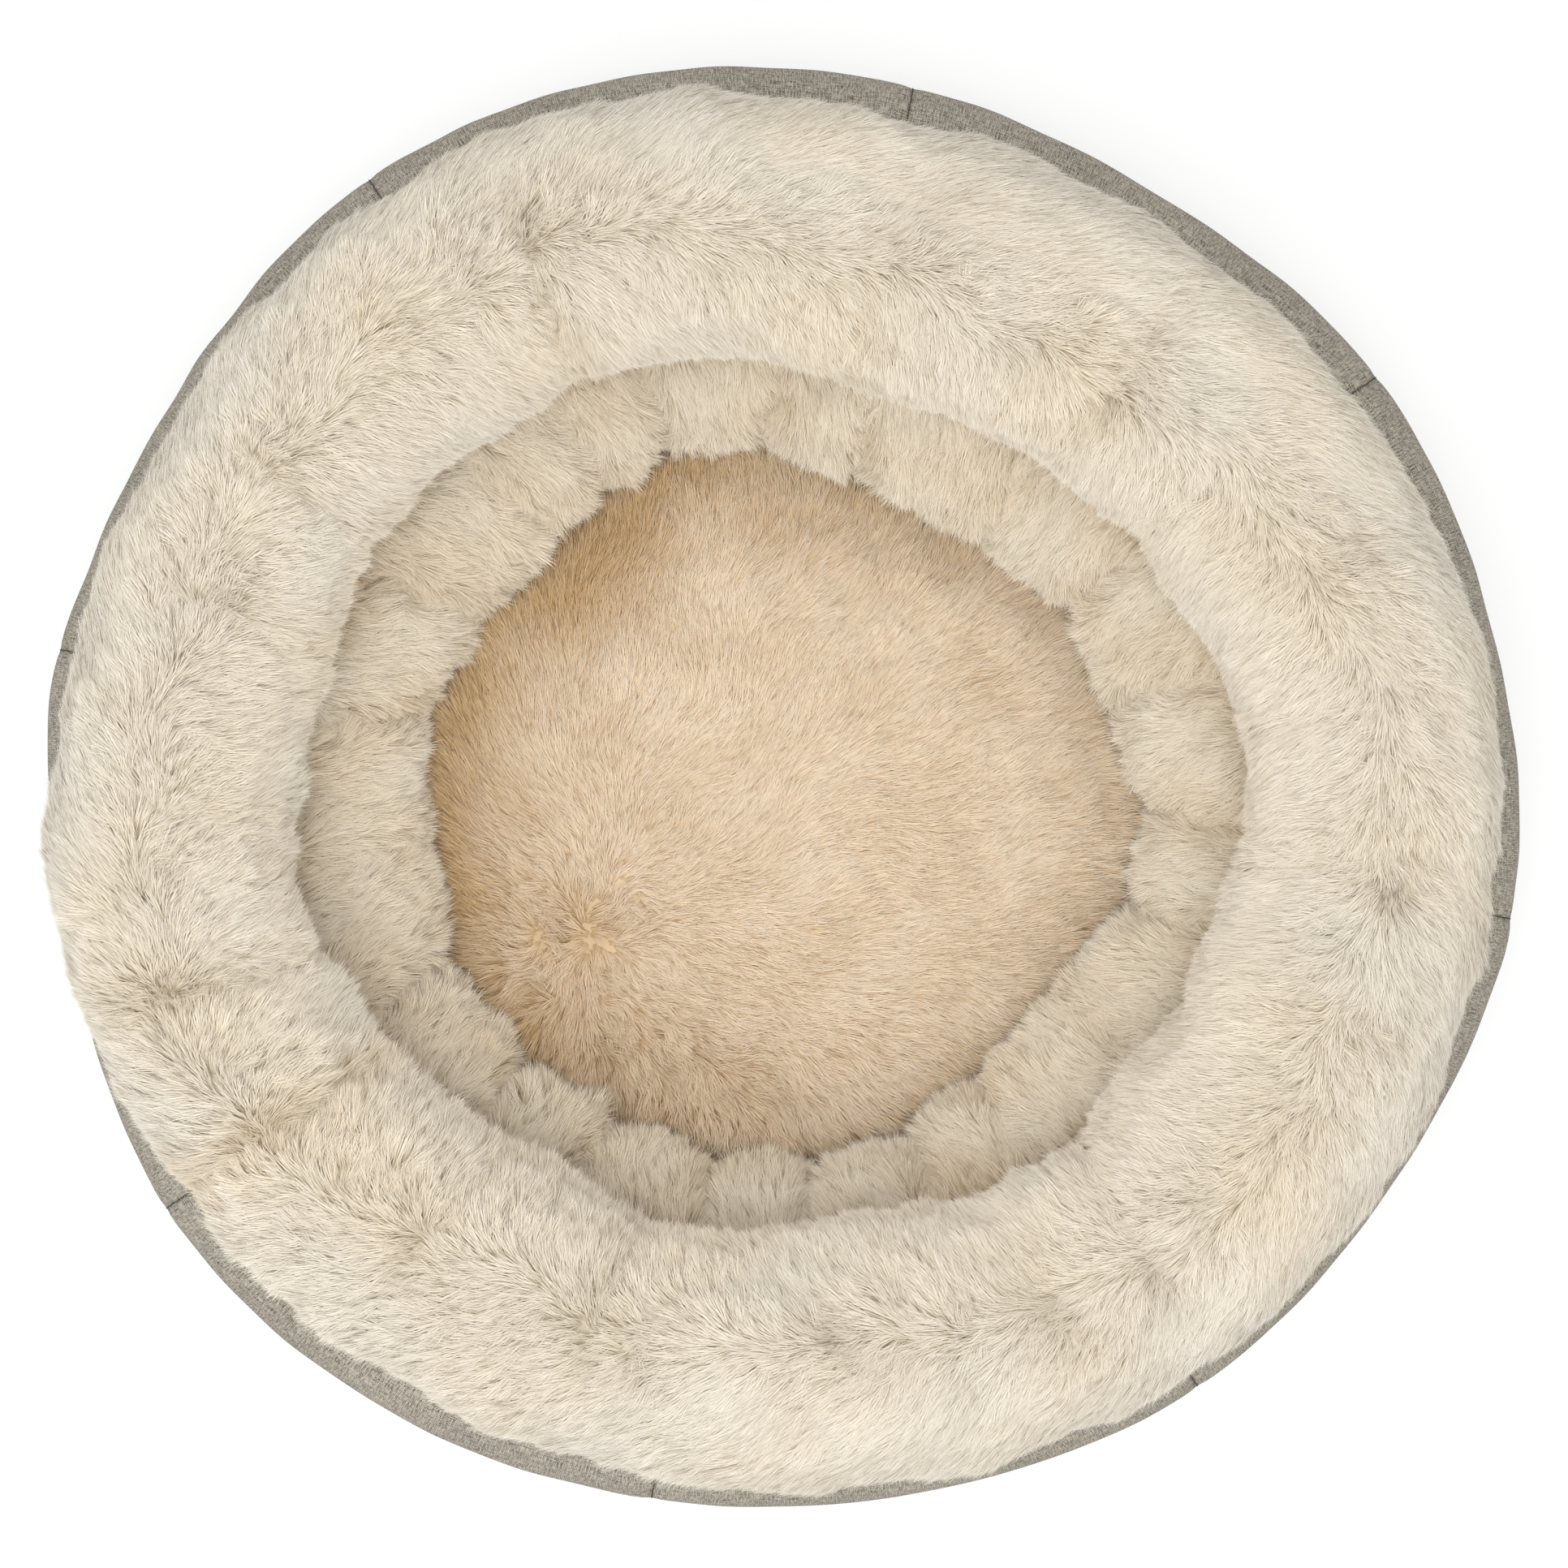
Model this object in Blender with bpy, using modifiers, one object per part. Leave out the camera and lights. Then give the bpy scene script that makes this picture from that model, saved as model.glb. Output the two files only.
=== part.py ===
"""A round plush dog bed: a stuffed upper ring on a flared wall of linen-look panels, a gathered
lower ring round the well, and a loose cushion that closes with a zip.

Metres, +Z up. The origin is on the floor at the middle of the base. Angles are counted
anticlockwise from +X. Run it with blender --background --python part.py.
"""

import math

import bmesh
import bpy
from mathutils import Vector

# Driving sizes of the bed
WALL_RADIUS = 0.395
RING_OUTER_RADIUS = 0.372
RING_INNER_RADIUS = 0.232
WELL_RADIUS = 0.190
RING_CENTRE_HEIGHT = 0.165
RING_HALF_HEIGHT = 0.063
LOWER_RING_HEIGHT = 0.055

# Cloths, plush and foam
PLUSH_THICKNESS = 0.014
INNER_PLUSH_THICKNESS = 0.012
PANEL_THICKNESS = 0.003
PARTITION_THICKNESS = 0.001
BASE_CLOTH_THICKNESS = 0.0015
BASE_PAD_THICKNESS = 0.008
LINING_THICKNESS = 0.001

# Clearances between pieces that are sewn together, and between a cover and its filling
SEWN_GAP = 0.0004
FILL_GAP = 0.0008

# The wall stands on a foot that is drawn in below its widest line
WALL_FOOT_INSET = 0.018

# Seams draw the upper ring's crest down, and pleats draw the lower ring back from the well
SEAM_DIP = 0.007
PLEAT_DEPTH = 0.007

# Cushion
CUSHION_CLEARANCE = 0.002
CUSHION_SEAM_HEIGHT = 0.020
CUSHION_CROWN = 0.034
CUSHION_PLUSH_THICKNESS = 0.012
CUSHION_EDGE_THICKNESS = 0.004
CUSHION_EDGE_ROUND = 0.030
UNDERSIDE_THICKNESS = 0.001

# Zip
ZIP_MARGIN = 0.012
ZIP_FLOOR_CLEARANCE = 0.001
WELT_WIDTH = 0.0234
WELT_THICKNESS = 0.001
WELT_TURN = 0.001
TAPE_THICKNESS = 0.0005
TAPE_SPLIT = 0.0032
TAPE_TAIL = 0.004
COIL_RADIUS = 0.0007
COIL_SPACING = 0.0034
STOP_LENGTH = 0.002
SLIDER_LENGTH = 0.009
SLIDER_WIDTH = 0.0084
SLIDER_PLATE = 0.001
SLIDER_POST = 0.0012
SLIDER_FLANGE = 0.0006
SLIDER_EDGE = 0.0001
RUNNING_GAP = 0.0003
RECESS_CLEARANCE = 0.001
CUTTER_OVERRUN = 0.002

# Eight panels of 45 degrees, and two pleats in each panel of the lower ring
PANELS = 8
STEPS_PER_PANEL = 6
PLEATS = 2 * PANELS
SEAM_NARROWNESS = 4
PLEAT_NARROWNESS = 2
FIRST_SEAM_ANGLE = math.radians(34.5)

# Angles in the ring's round section, from its outer side over the crest to its inner side
RING_SEAM_ANGLE = math.radians(-25)
CREASE_ANGLE = math.radians(230)
LOWER_FOOT_ANGLE = math.radians(230)
RING_POINTS = 15
PARTITION_POINTS = 7
LOWER_POINTS = 9
PANEL_POINTS = 6
CUSHION_TOP_RINGS = 8
CUSHION_EDGE_RINGS = 3
CROWN_POWER = 2.6
COIL_SIDES = 8
SHARP_ANGLE = math.radians(35)

# A used bed has settled out of round. Each row holds the radius at a seam and then at the middle
# of the panel after it, eight times round from the first seam, as a share of the driving radius.
WALL_SHARES = (
    0.987, 0.958, 0.972, 0.994, 1.006, 0.990, 0.998, 0.998,
    1.028, 1.018, 0.997, 0.990, 1.003, 0.998, 1.015, 0.995,
)
RING_OUTER_SHARES = (
    0.949, 0.931, 0.935, 0.978, 0.997, 0.995, 1.008, 1.032,
    1.013, 0.997, 0.987, 0.995, 1.005, 1.013, 1.005, 0.992,
)
RING_INNER_SHARES = (
    0.944, 0.903, 0.890, 0.972, 0.996, 1.047, 1.041, 1.108,
    1.069, 1.000, 1.017, 0.970, 1.019, 0.991, 1.013, 1.006,
)
WELL_SHARES = (
    0.937, 0.868, 0.889, 0.995, 0.958, 0.953, 1.042, 1.016,
    1.084, 1.063, 1.071, 1.068, 0.984, 0.972, 1.058, 0.942,
)

# Heights that follow from the layers of the floor
PAD_BOTTOM = BASE_CLOTH_THICKNESS + SEWN_GAP
PAD_TOP = PAD_BOTTOM + BASE_PAD_THICKNESS
LINING_BOTTOM = PAD_TOP + SEWN_GAP
LINING_TOP = LINING_BOTTOM + LINING_THICKNESS
CUSHION_BASE = LINING_TOP + SEWN_GAP

# Colour, roughness and metallic value of each kind of finish
FINISHES = {
    "cream plush": ((0.72, 0.65, 0.54), 0.95, 0.0),
    "inner plush": ((0.66, 0.56, 0.43), 0.95, 0.0),
    "tan plush": ((0.68, 0.52, 0.36), 0.95, 0.0),
    "grey linen": ((0.36, 0.33, 0.29), 0.9, 0.0),
    "filling": ((0.85, 0.85, 0.83), 1.0, 0.0),
    "lining cloth": ((0.62, 0.57, 0.49), 0.9, 0.0),
    "base cloth": ((0.14, 0.13, 0.12), 0.85, 0.0),
    "foam": ((0.80, 0.78, 0.70), 0.95, 0.0),
    "zip tape": ((0.62, 0.55, 0.45), 0.85, 0.0),
    "zip coil": ((0.70, 0.64, 0.54), 0.4, 0.0),
    "zip metal": ((0.55, 0.54, 0.52), 0.35, 1.0),
}


def spread(first, last, count):
    """Evenly spaced values from first to last, both included."""
    return [first + (last - first) * i / (count - 1) for i in range(count)]


def share_at(shares, turn):
    """A smooth closed curve through the shares, read at a part of a full turn from the first one."""
    count = len(shares)
    place = (turn % 1.0) * count
    index = int(place)
    part = place - index
    before, start, end, after = (shares[(index + k) % count] for k in (-1, 0, 1, 2))
    slope_start = (end - before) / 2
    slope_end = (after - start) / 2
    rise = end - start
    bend = 3 * rise - 2 * slope_start - slope_end
    twist = slope_start + slope_end - 2 * rise
    return start + part * (slope_start + part * (bend + part * twist))


def gather(turn, count, narrowness):
    """1 at each of count places round a turn, the first at 0, and 0 between them."""
    return ((1 + math.cos(2 * math.pi * count * turn)) / 2) ** narrowness


class Section:
    """The bed's upright section at one angle round it, and points on its pieces."""

    def __init__(self, angle, shown_angle=None):
        turn = (angle - FIRST_SEAM_ANGLE) / (2 * math.pi)
        self.angle = angle if shown_angle is None else shown_angle
        outer = RING_OUTER_RADIUS * share_at(RING_OUTER_SHARES, turn)
        inner = RING_INNER_RADIUS * share_at(RING_INNER_SHARES, turn)
        self.ring_centre = (outer + inner) / 2
        self.ring_width = (outer - inner) / 2
        self.ring_height = RING_HALF_HEIGHT - SEAM_DIP * gather(turn, PANELS, SEAM_NARROWNESS)
        self.wall = WALL_RADIUS * share_at(WALL_SHARES, turn)
        self.foot = self.wall - WALL_FOOT_INSET
        self.well = WELL_RADIUS * share_at(WELL_SHARES, turn)
        self.lower = self.well + PLEAT_DEPTH * gather(turn, PLEATS, PLEAT_NARROWNESS)
        self.seam = self.ring(RING_SEAM_ANGLE, 0)
        self.crease = self.ring(CREASE_ANGLE, 0)
        self.pad = self.lower_ring(LOWER_FOOT_ANGLE, INNER_PLUSH_THICKNESS)[0]
        self.cushion = self.well - CUSHION_CLEARANCE

    def ring(self, around, depth):
        """A point of the upper ring's section, depth below its surface."""
        radius = self.ring_centre + (self.ring_width - depth) * math.cos(around)
        height = RING_CENTRE_HEIGHT + (self.ring_height - depth) * math.sin(around)
        return radius, height

    def lower_ring(self, around, depth):
        """A point of the lower ring's section, from its top at 90 degrees to its foot."""
        width = self.crease[0] - self.lower
        above = self.crease[1] - SEWN_GAP - LOWER_RING_HEIGHT
        below = (LOWER_RING_HEIGHT - CUSHION_BASE) / -math.sin(LOWER_FOOT_ANGLE)
        tall = above if math.sin(around) > 0 else below
        radius = self.crease[0] + (width - depth) * math.cos(around)
        return radius, LOWER_RING_HEIGHT + (tall - depth) * math.sin(around)

    def side(self, rise, depth):
        """A point of the side wall, rise being 0 at the floor and 1 at the seam with the ring."""
        swell = self.wall - (self.foot + self.seam[0]) / 2
        radius = self.foot + (self.seam[0] - self.foot) * rise + 4 * swell * rise * (1 - rise)
        return radius - depth, (self.seam[1] - SEWN_GAP) * rise

    def cushion_top(self, out, inset, drop):
        """A point of the cushion's crown, out being 0 in the middle and 1 at its seam."""
        radius = (self.cushion - inset) * out
        rise = (CUSHION_CROWN - drop) * math.sqrt(max(0.0, 1 - out**CROWN_POWER))
        return radius, CUSHION_SEAM_HEIGHT + rise

    def cushion_edge(self, around, depth):
        """A point of the cushion's rounded lower edge, from its flat underside to its seam."""
        radius = self.cushion - CUSHION_EDGE_ROUND + (CUSHION_EDGE_ROUND - depth) * math.sin(around)
        return radius, depth + (CUSHION_SEAM_HEIGHT - depth) * (1 - math.cos(around))

    def place(self, points):
        """The section's points of radius and height as points in space."""
        across = math.cos(self.angle)
        along = math.sin(self.angle)
        return [Vector((radius * across, radius * along, height)) for radius, height in points]


def clear_scene():
    for item in list(bpy.data.objects):
        bpy.data.objects.remove(item, do_unlink=True)


def new_collection(name):
    made = bpy.data.collections.new(name)
    bpy.context.scene.collection.children.link(made)
    return made


def new_empty(name, collection, location, parent=None):
    made = bpy.data.objects.new(name, None)
    made.location = location
    made.parent = parent
    collection.objects.link(made)
    return made


def new_material(name, finish):
    colour, roughness, metallic = FINISHES[finish]
    made = bpy.data.materials.new(name + "_finish")
    made.use_nodes = True
    shader = made.node_tree.nodes["Principled BSDF"]
    shader.inputs["Base Color"].default_value = (*colour, 1)
    shader.inputs["Roughness"].default_value = roughness
    shader.inputs["Metallic"].default_value = metallic
    made.diffuse_color = (*colour, 1)
    return made


def new_object(name, shape, collection, parent, finish):
    """Turns a bmesh into a smooth shaded object with faces that point outwards."""
    bmesh.ops.recalc_face_normals(shape, faces=shape.faces)
    mesh = bpy.data.meshes.new(name)
    shape.to_mesh(mesh)
    shape.free()
    mesh.shade_smooth()
    mesh.set_sharp_from_angle(angle=SHARP_ANGLE)
    made = bpy.data.objects.new(name, mesh)
    collection.objects.link(made)
    made.parent = parent
    mesh.materials.append(new_material(name, finish))
    return made


def add_quad(shape, a, b, c, d):
    """Two triangles that share the shorter diagonal, so that a cover and its filling bend alike."""
    if (a.co - c.co).length <= (b.co - d.co).length:
        shape.faces.new((a, b, c))
        shape.faces.new((a, c, d))
    else:
        shape.faces.new((a, b, d))
        shape.faces.new((b, c, d))


def skin(loops, wrap=False):
    """A closed skin over loops of points. It ends in flat caps, or wraps round to its start."""
    shape = bmesh.new()
    grid = [[shape.verts.new(point) for point in loop] for loop in loops]
    pairs = list(zip(grid, grid[1:]))
    if wrap:
        pairs.append((grid[-1], grid[0]))
    for near, far in pairs:
        for i in range(len(near)):
            j = (i + 1) % len(near)
            add_quad(shape, near[i], near[j], far[j], far[i])
    if not wrap:
        shape.faces.new(grid[0])
        shape.faces.new(grid[-1])
    return shape


def block(low, high):
    """A box between two corners."""
    shape = bmesh.new()
    bmesh.ops.create_cube(shape, size=1)
    low = Vector(low)
    high = Vector(high)
    bmesh.ops.scale(shape, vec=high - low, verts=shape.verts)
    bmesh.ops.translate(shape, vec=(low + high) / 2, verts=shape.verts)
    return shape


def cut(target, name, shape, cutters, parent):
    """Cuts a shape out of a piece, and keeps the cutter in its own collection."""
    cutter = new_object(name, shape, cutters, parent, "filling")
    cutter.hide_render = True
    cutter.display_type = "WIRE"
    boolean = target.modifiers.new(name, "BOOLEAN")
    boolean.operation = "DIFFERENCE"
    boolean.solver = "EXACT"
    boolean.object = cutter


STATION_STEP = 2 * math.pi / (PANELS * STEPS_PER_PANEL)
STATIONS = [FIRST_SEAM_ANGLE + i * STATION_STEP for i in range(PANELS * STEPS_PER_PANEL)]
RING_ANGLES = spread(RING_SEAM_ANGLE, CREASE_ANGLE, RING_POINTS)
LOWER_ANGLES = spread(math.pi / 2, LOWER_FOOT_ANGLE, LOWER_POINTS)


def under_ring_angles(gap):
    """Angles across the open underside of the ring, with a gap to the plush at either end."""
    margin = gap / (RING_HALF_HEIGHT - PLUSH_THICKNESS)
    return spread(CREASE_ANGLE + margin, RING_SEAM_ANGLE + 2 * math.pi - margin, PARTITION_POINTS)


def round_the_bed(loop_of):
    """One loop of points for each station round the whole bed."""
    sections = [Section(angle) for angle in STATIONS]
    return [section.place(loop_of(section)) for section in sections]


def along_panel(number, loop_of):
    """Loops for one panel of the bed, between two seams and clear of its neighbours."""
    first = number * STEPS_PER_PANEL
    angles = [FIRST_SEAM_ANGLE + (first + i) * STATION_STEP for i in range(STEPS_PER_PANEL + 1)]
    shown = list(angles)
    half_gap = SEWN_GAP / 2 / WELL_RADIUS
    shown[0] += half_gap
    shown[-1] -= half_gap
    sections = [Section(angle, place) for angle, place in zip(angles, shown)]
    return [section.place(loop_of(section)) for section in sections]


def rings_of(ring_places):
    """Level rings of points round the bed, one for each place on the section."""
    columns = round_the_bed(ring_places)
    return [list(ring) for ring in zip(*columns)]


def side_panel_loop(section):
    rises = spread(0, 1, PANEL_POINTS)
    outside = [section.side(rise, 0) for rise in rises]
    inside = [section.side(rise, PANEL_THICKNESS) for rise in reversed(rises)]
    return outside + inside


def bolster_plush_loop(section):
    outside = [section.ring(angle, 0) for angle in RING_ANGLES]
    inside = [section.ring(angle, PLUSH_THICKNESS) for angle in reversed(RING_ANGLES)]
    return outside + inside


def inner_plush_loop(section):
    outside = [section.lower_ring(angle, 0) for angle in LOWER_ANGLES]
    inside = [section.lower_ring(angle, INNER_PLUSH_THICKNESS) for angle in reversed(LOWER_ANGLES)]
    return outside + inside


def partition_loop(section):
    angles = under_ring_angles(SEWN_GAP)
    below = [section.ring(angle, PLUSH_THICKNESS - PARTITION_THICKNESS) for angle in angles]
    above = [section.ring(angle, PLUSH_THICKNESS) for angle in reversed(angles)]
    return below + above


def bolster_fill_loop(section):
    angles = RING_ANGLES[::2] + under_ring_angles(SEWN_GAP)[1:-1:2]
    return [section.ring(angle, PLUSH_THICKNESS + FILL_GAP) for angle in angles]


def wall_fill_loop(section):
    """The space between the wall, the upper ring, the lower ring and the base."""
    inset = PANEL_THICKNESS + FILL_GAP
    panel_height = section.seam[1] - SEWN_GAP
    rises = spread(0, 1, PANEL_POINTS)
    rises[0] = PAD_BOTTOM / panel_height
    rises[-1] = 1 - FILL_GAP / panel_height
    wall = [section.side(rise, inset) for rise in rises]
    under_depth = PLUSH_THICKNESS - PARTITION_THICKNESS - FILL_GAP
    under = [section.ring(angle, under_depth) for angle in reversed(under_ring_angles(FILL_GAP))]
    crease_radius, crease_height = section.crease
    back_depth = INNER_PLUSH_THICKNESS + FILL_GAP
    top_back = section.lower_ring(math.pi / 2, back_depth)
    corner = [
        (crease_radius + FILL_GAP, crease_height - FILL_GAP),
        (crease_radius + FILL_GAP, top_back[1]),
    ]
    back = [section.lower_ring(angle, back_depth) for angle in LOWER_ANGLES[2::2]]
    return [(section.pad + FILL_GAP, PAD_BOTTOM)] + wall + under + corner + back


def disc_loop(radius_of, low, high):
    """The edge of a flat layer between two heights."""
    return lambda section: [(radius_of(section), low), (radius_of(section), high)]


def crown_shares():
    """Places across the cushion's crown from near its middle to its seam, closer at the seam."""
    return [math.sin(math.pi / 2 * i / CUSHION_TOP_RINGS) for i in range(1, CUSHION_TOP_RINGS + 1)]


def edge_angles():
    return spread(0, math.pi / 2, CUSHION_EDGE_RINGS + 1)


def cushion_plush_loop(section):
    """Over the crown to the seam, then back under the plush to its middle."""
    outside = [section.cushion_top(out, 0, 0) for out in crown_shares()]
    inside = [
        section.cushion_top(out, CUSHION_EDGE_THICKNESS, CUSHION_PLUSH_THICKNESS)
        for out in reversed(crown_shares())
    ]
    return outside + inside


def cushion_underside_loop(section):
    outside = [section.cushion_edge(angle, 0) for angle in edge_angles()]
    inside = [section.cushion_edge(angle, UNDERSIDE_THICKNESS) for angle in reversed(edge_angles())]
    rim = CUSHION_SEAM_HEIGHT - SEWN_GAP
    return [(radius, min(height, rim)) for radius, height in outside + inside]


def cushion_fill_loop(section):
    depth = UNDERSIDE_THICKNESS + FILL_GAP
    below = [section.cushion_edge(angle, depth) for angle in edge_angles()[:-1]]
    edge = CUSHION_EDGE_THICKNESS + FILL_GAP
    drop = CUSHION_PLUSH_THICKNESS + FILL_GAP
    above = [section.cushion_top(out, edge, drop) for out in reversed(crown_shares())]
    return below + above


def add_bed(parts, bed):
    for number in range(PANELS):
        label = str(number + 1)
        panel = skin(along_panel(number, side_panel_loop))
        new_object("side_panel_" + label, panel, parts, bed, "grey linen")
        gore = skin(along_panel(number, bolster_plush_loop))
        new_object("bolster_plush_" + label, gore, parts, bed, "cream plush")
        lower = skin(along_panel(number, inner_plush_loop))
        new_object("inner_plush_" + label, lower, parts, bed, "inner plush")
    partition = skin(round_the_bed(partition_loop), wrap=True)
    new_object("partition_cloth", partition, parts, bed, "lining cloth")
    bolster_fill = skin(round_the_bed(bolster_fill_loop), wrap=True)
    new_object("bolster_fill", bolster_fill, parts, bed, "filling")
    wall_fill = skin(round_the_bed(wall_fill_loop), wrap=True)
    new_object("wall_fill", wall_fill, parts, bed, "filling")


def base_radius(section):
    return section.foot - PANEL_THICKNESS - SEWN_GAP


def pad_radius(section):
    return section.pad


def add_floor(parts, bed):
    base = rings_of(disc_loop(base_radius, 0, BASE_CLOTH_THICKNESS))
    new_object("base_cloth", skin(base), parts, bed, "base cloth")
    pad = rings_of(disc_loop(pad_radius, PAD_BOTTOM, PAD_TOP))
    new_object("base_pad", skin(pad), parts, bed, "foam")
    lining = rings_of(disc_loop(pad_radius, LINING_BOTTOM, LINING_TOP))
    new_object("floor_lining", skin(lining), parts, bed, "lining cloth")


class Zip:
    """Sizes of the zip, which lies along X under the cushion. Heights are above its underside."""

    def __init__(self):
        flat = min(Section(angle).cushion for angle in STATIONS) - CUSHION_EDGE_ROUND
        self.welt_length = flat - ZIP_MARGIN
        self.welt_width = WELT_WIDTH / 2
        self.tape_length = self.welt_length - WELT_THICKNESS - SEWN_GAP
        self.tape_width = self.welt_width - WELT_THICKNESS - SEWN_GAP
        self.coil_length = self.tape_length - TAPE_TAIL
        self.lower_plate = ZIP_FLOOR_CLEARANCE + SLIDER_PLATE
        self.coil_bottom = self.lower_plate + RUNNING_GAP
        self.coil_top = self.coil_bottom + 2 * COIL_RADIUS
        self.tape_bottom = self.coil_top + SEWN_GAP
        self.tape_top = self.tape_bottom + TAPE_THICKNESS
        self.upper_plate = self.tape_top + RUNNING_GAP
        self.slider_top = self.upper_plate + SLIDER_PLATE
        self.welt_top = self.tape_top + WELT_TURN
        self.slider_place = self.coil_length - SLIDER_LENGTH / 2

    def recess(self, margin, top):
        """A box round the welt, for cutting the pieces that it passes through."""
        length = self.welt_length + margin
        width = self.welt_width + margin
        return block((-length, -width, -CUTTER_OVERRUN), (length, width, top))


def add_cushion(parts, cutters, cushion, closure):
    plush = skin(rings_of(cushion_plush_loop))
    new_object("cushion_plush", plush, parts, cushion, "tan plush")
    underside = skin(rings_of(cushion_underside_loop))
    underside = new_object("cushion_underside", underside, parts, cushion, "lining cloth")
    through = UNDERSIDE_THICKNESS + CUTTER_OVERRUN
    cut(underside, "zip_slot_cutter", closure.recess(SEWN_GAP, through), cutters, cushion)
    filling = skin(rings_of(cushion_fill_loop))
    filling = new_object("cushion_fill", filling, parts, cushion, "filling")
    top = closure.slider_top + RECESS_CLEARANCE
    cut(filling, "zip_recess_cutter", closure.recess(FILL_GAP, top), cutters, cushion)


def add_zip(parts, cutters, cushion, closure):
    length, width = closure.welt_length, closure.welt_width
    frame = block((-length, -width, 0), (length, width, closure.welt_top))
    welt = new_object("zip_welt", frame, parts, cushion, "lining cloth")
    length -= WELT_THICKNESS
    width -= WELT_THICKNESS
    top = closure.welt_top + CUTTER_OVERRUN
    inside = block((-length, -width, -CUTTER_OVERRUN), (length, width, top))
    cut(welt, "welt_inside_cutter", inside, cutters, cushion)

    for side, name in ((1, "left"), (-1, "right")):
        edges = sorted((side * TAPE_SPLIT / 2, side * closure.tape_width))
        low = (-closure.tape_length, edges[0], closure.tape_bottom)
        high = (closure.tape_length, edges[1], closure.tape_top)
        new_object("zip_tape_" + name, block(low, high), parts, cushion, "zip tape")
        coil = new_coil("zip_coil_" + name, parts, cushion, closure)
        coil.location = (0, side * COIL_SPACING / 2, closure.coil_bottom + COIL_RADIUS)

    half_width = COIL_SPACING / 2 + COIL_RADIUS
    for side, name in ((1, "front"), (-1, "back")):
        ends = sorted(side * (closure.coil_length + gap) for gap in (SEWN_GAP, STOP_LENGTH))
        low = (ends[0], -half_width, closure.coil_bottom)
        high = (ends[1], half_width, closure.coil_top)
        new_object("zip_stop_" + name, block(low, high), parts, cushion, "zip metal")


def new_coil(name, parts, cushion, closure):
    """One row of the zip's teeth, as a round bar along X."""
    shape = bmesh.new()
    bmesh.ops.create_cone(
        shape,
        cap_ends=True,
        segments=COIL_SIDES,
        radius1=COIL_RADIUS,
        radius2=COIL_RADIUS,
        depth=2 * closure.coil_length,
    )
    made = new_object(name, shape, parts, cushion, "zip coil")
    made.rotation_euler = (0, math.pi / 2, 0)
    return made


def add_slider(parts, runner, closure):
    """Two plates joined by a post between the coils, with turned-up flanges below the tapes."""
    wide = SLIDER_WIDTH / 2
    post = SLIDER_POST / 2
    inner = wide - SLIDER_FLANGE
    flange_top = closure.tape_bottom - RUNNING_GAP
    half = [
        (wide, ZIP_FLOOR_CLEARANCE),
        (wide, flange_top),
        (inner, flange_top),
        (inner, closure.lower_plate),
        (post, closure.lower_plate),
        (post, closure.upper_plate),
        (wide, closure.upper_plate),
        (wide, closure.slider_top),
    ]
    outline = half + [(-across, height) for across, height in reversed(half)]
    ends = (-SLIDER_LENGTH / 2, SLIDER_LENGTH / 2)
    loops = [[Vector((end, across, height)) for across, height in outline] for end in ends]
    slider = new_object("zip_slider", skin(loops), parts, runner, "zip metal")
    bevel = slider.modifiers.new("worn edges", "BEVEL")
    bevel.width = SLIDER_EDGE
    bevel.segments = 1
    bevel.limit_method = "ANGLE"


def main():
    clear_scene()
    parts = new_collection("dog_bed")
    cutters = new_collection("cutters")
    bed = new_empty("bed", parts, (0, 0, 0))
    closure = Zip()
    cushion = new_empty("cushion_lift", parts, (0, 0, CUSHION_BASE), bed)
    runner = new_empty("zip_slide", parts, (closure.slider_place, 0, 0), cushion)
    add_bed(parts, bed)
    add_floor(parts, bed)
    add_cushion(parts, cutters, cushion, closure)
    add_zip(parts, cutters, cushion, closure)
    add_slider(parts, runner, closure)


main()
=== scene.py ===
"""The looks of a round plush dog bed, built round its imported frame.

Metres, +Z up, with the origin on the floor at the middle of the base. +X is right and +Y is up in
the overhead view. Angles are counted anticlockwise from +X. "Around" is the angle in a ring's round
section, 0 on its outer side, 90 degrees on its crest and 180 on its inner side.
"""

import math

import bpy
import numpy as np
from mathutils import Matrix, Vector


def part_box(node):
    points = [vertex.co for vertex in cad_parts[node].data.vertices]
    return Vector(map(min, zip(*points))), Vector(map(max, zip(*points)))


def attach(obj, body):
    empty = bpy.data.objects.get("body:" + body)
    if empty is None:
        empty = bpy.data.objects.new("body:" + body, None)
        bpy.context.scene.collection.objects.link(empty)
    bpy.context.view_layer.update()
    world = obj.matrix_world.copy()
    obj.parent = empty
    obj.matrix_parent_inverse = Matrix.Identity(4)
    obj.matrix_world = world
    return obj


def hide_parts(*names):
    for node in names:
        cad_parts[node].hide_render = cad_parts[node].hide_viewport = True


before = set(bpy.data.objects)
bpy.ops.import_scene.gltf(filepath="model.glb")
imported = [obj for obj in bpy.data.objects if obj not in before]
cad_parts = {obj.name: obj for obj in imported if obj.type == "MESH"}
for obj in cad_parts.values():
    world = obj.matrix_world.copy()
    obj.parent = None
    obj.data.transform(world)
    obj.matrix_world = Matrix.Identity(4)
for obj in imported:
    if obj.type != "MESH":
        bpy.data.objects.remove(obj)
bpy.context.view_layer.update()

MM = 0.001
DEG = math.radians(1)
FULL_TURN = 2 * math.pi
PANELS = 8

# Camera straight above the bed, as far as a person holds one, with the floor's width in its view
CAMERA_HEIGHT = 2.6
FLOOR_IN_VIEW = 0.8711
SENSOR_WIDTH = 36.0

# The frame's sections, one for every 7.5 degrees, with a sewn pleat at every third
STATIONS = 48
STATIONS_PER_PLEAT = 3
FIRST_SEAM = 34.5 * DEG
RING_SEAM = -25 * DEG
RING_CREASE = 230 * DEG
LOWER_FOOT = 230 * DEG
LOWER_RING_HEIGHT = 55 * MM
CROWN_POWER = 7

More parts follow.
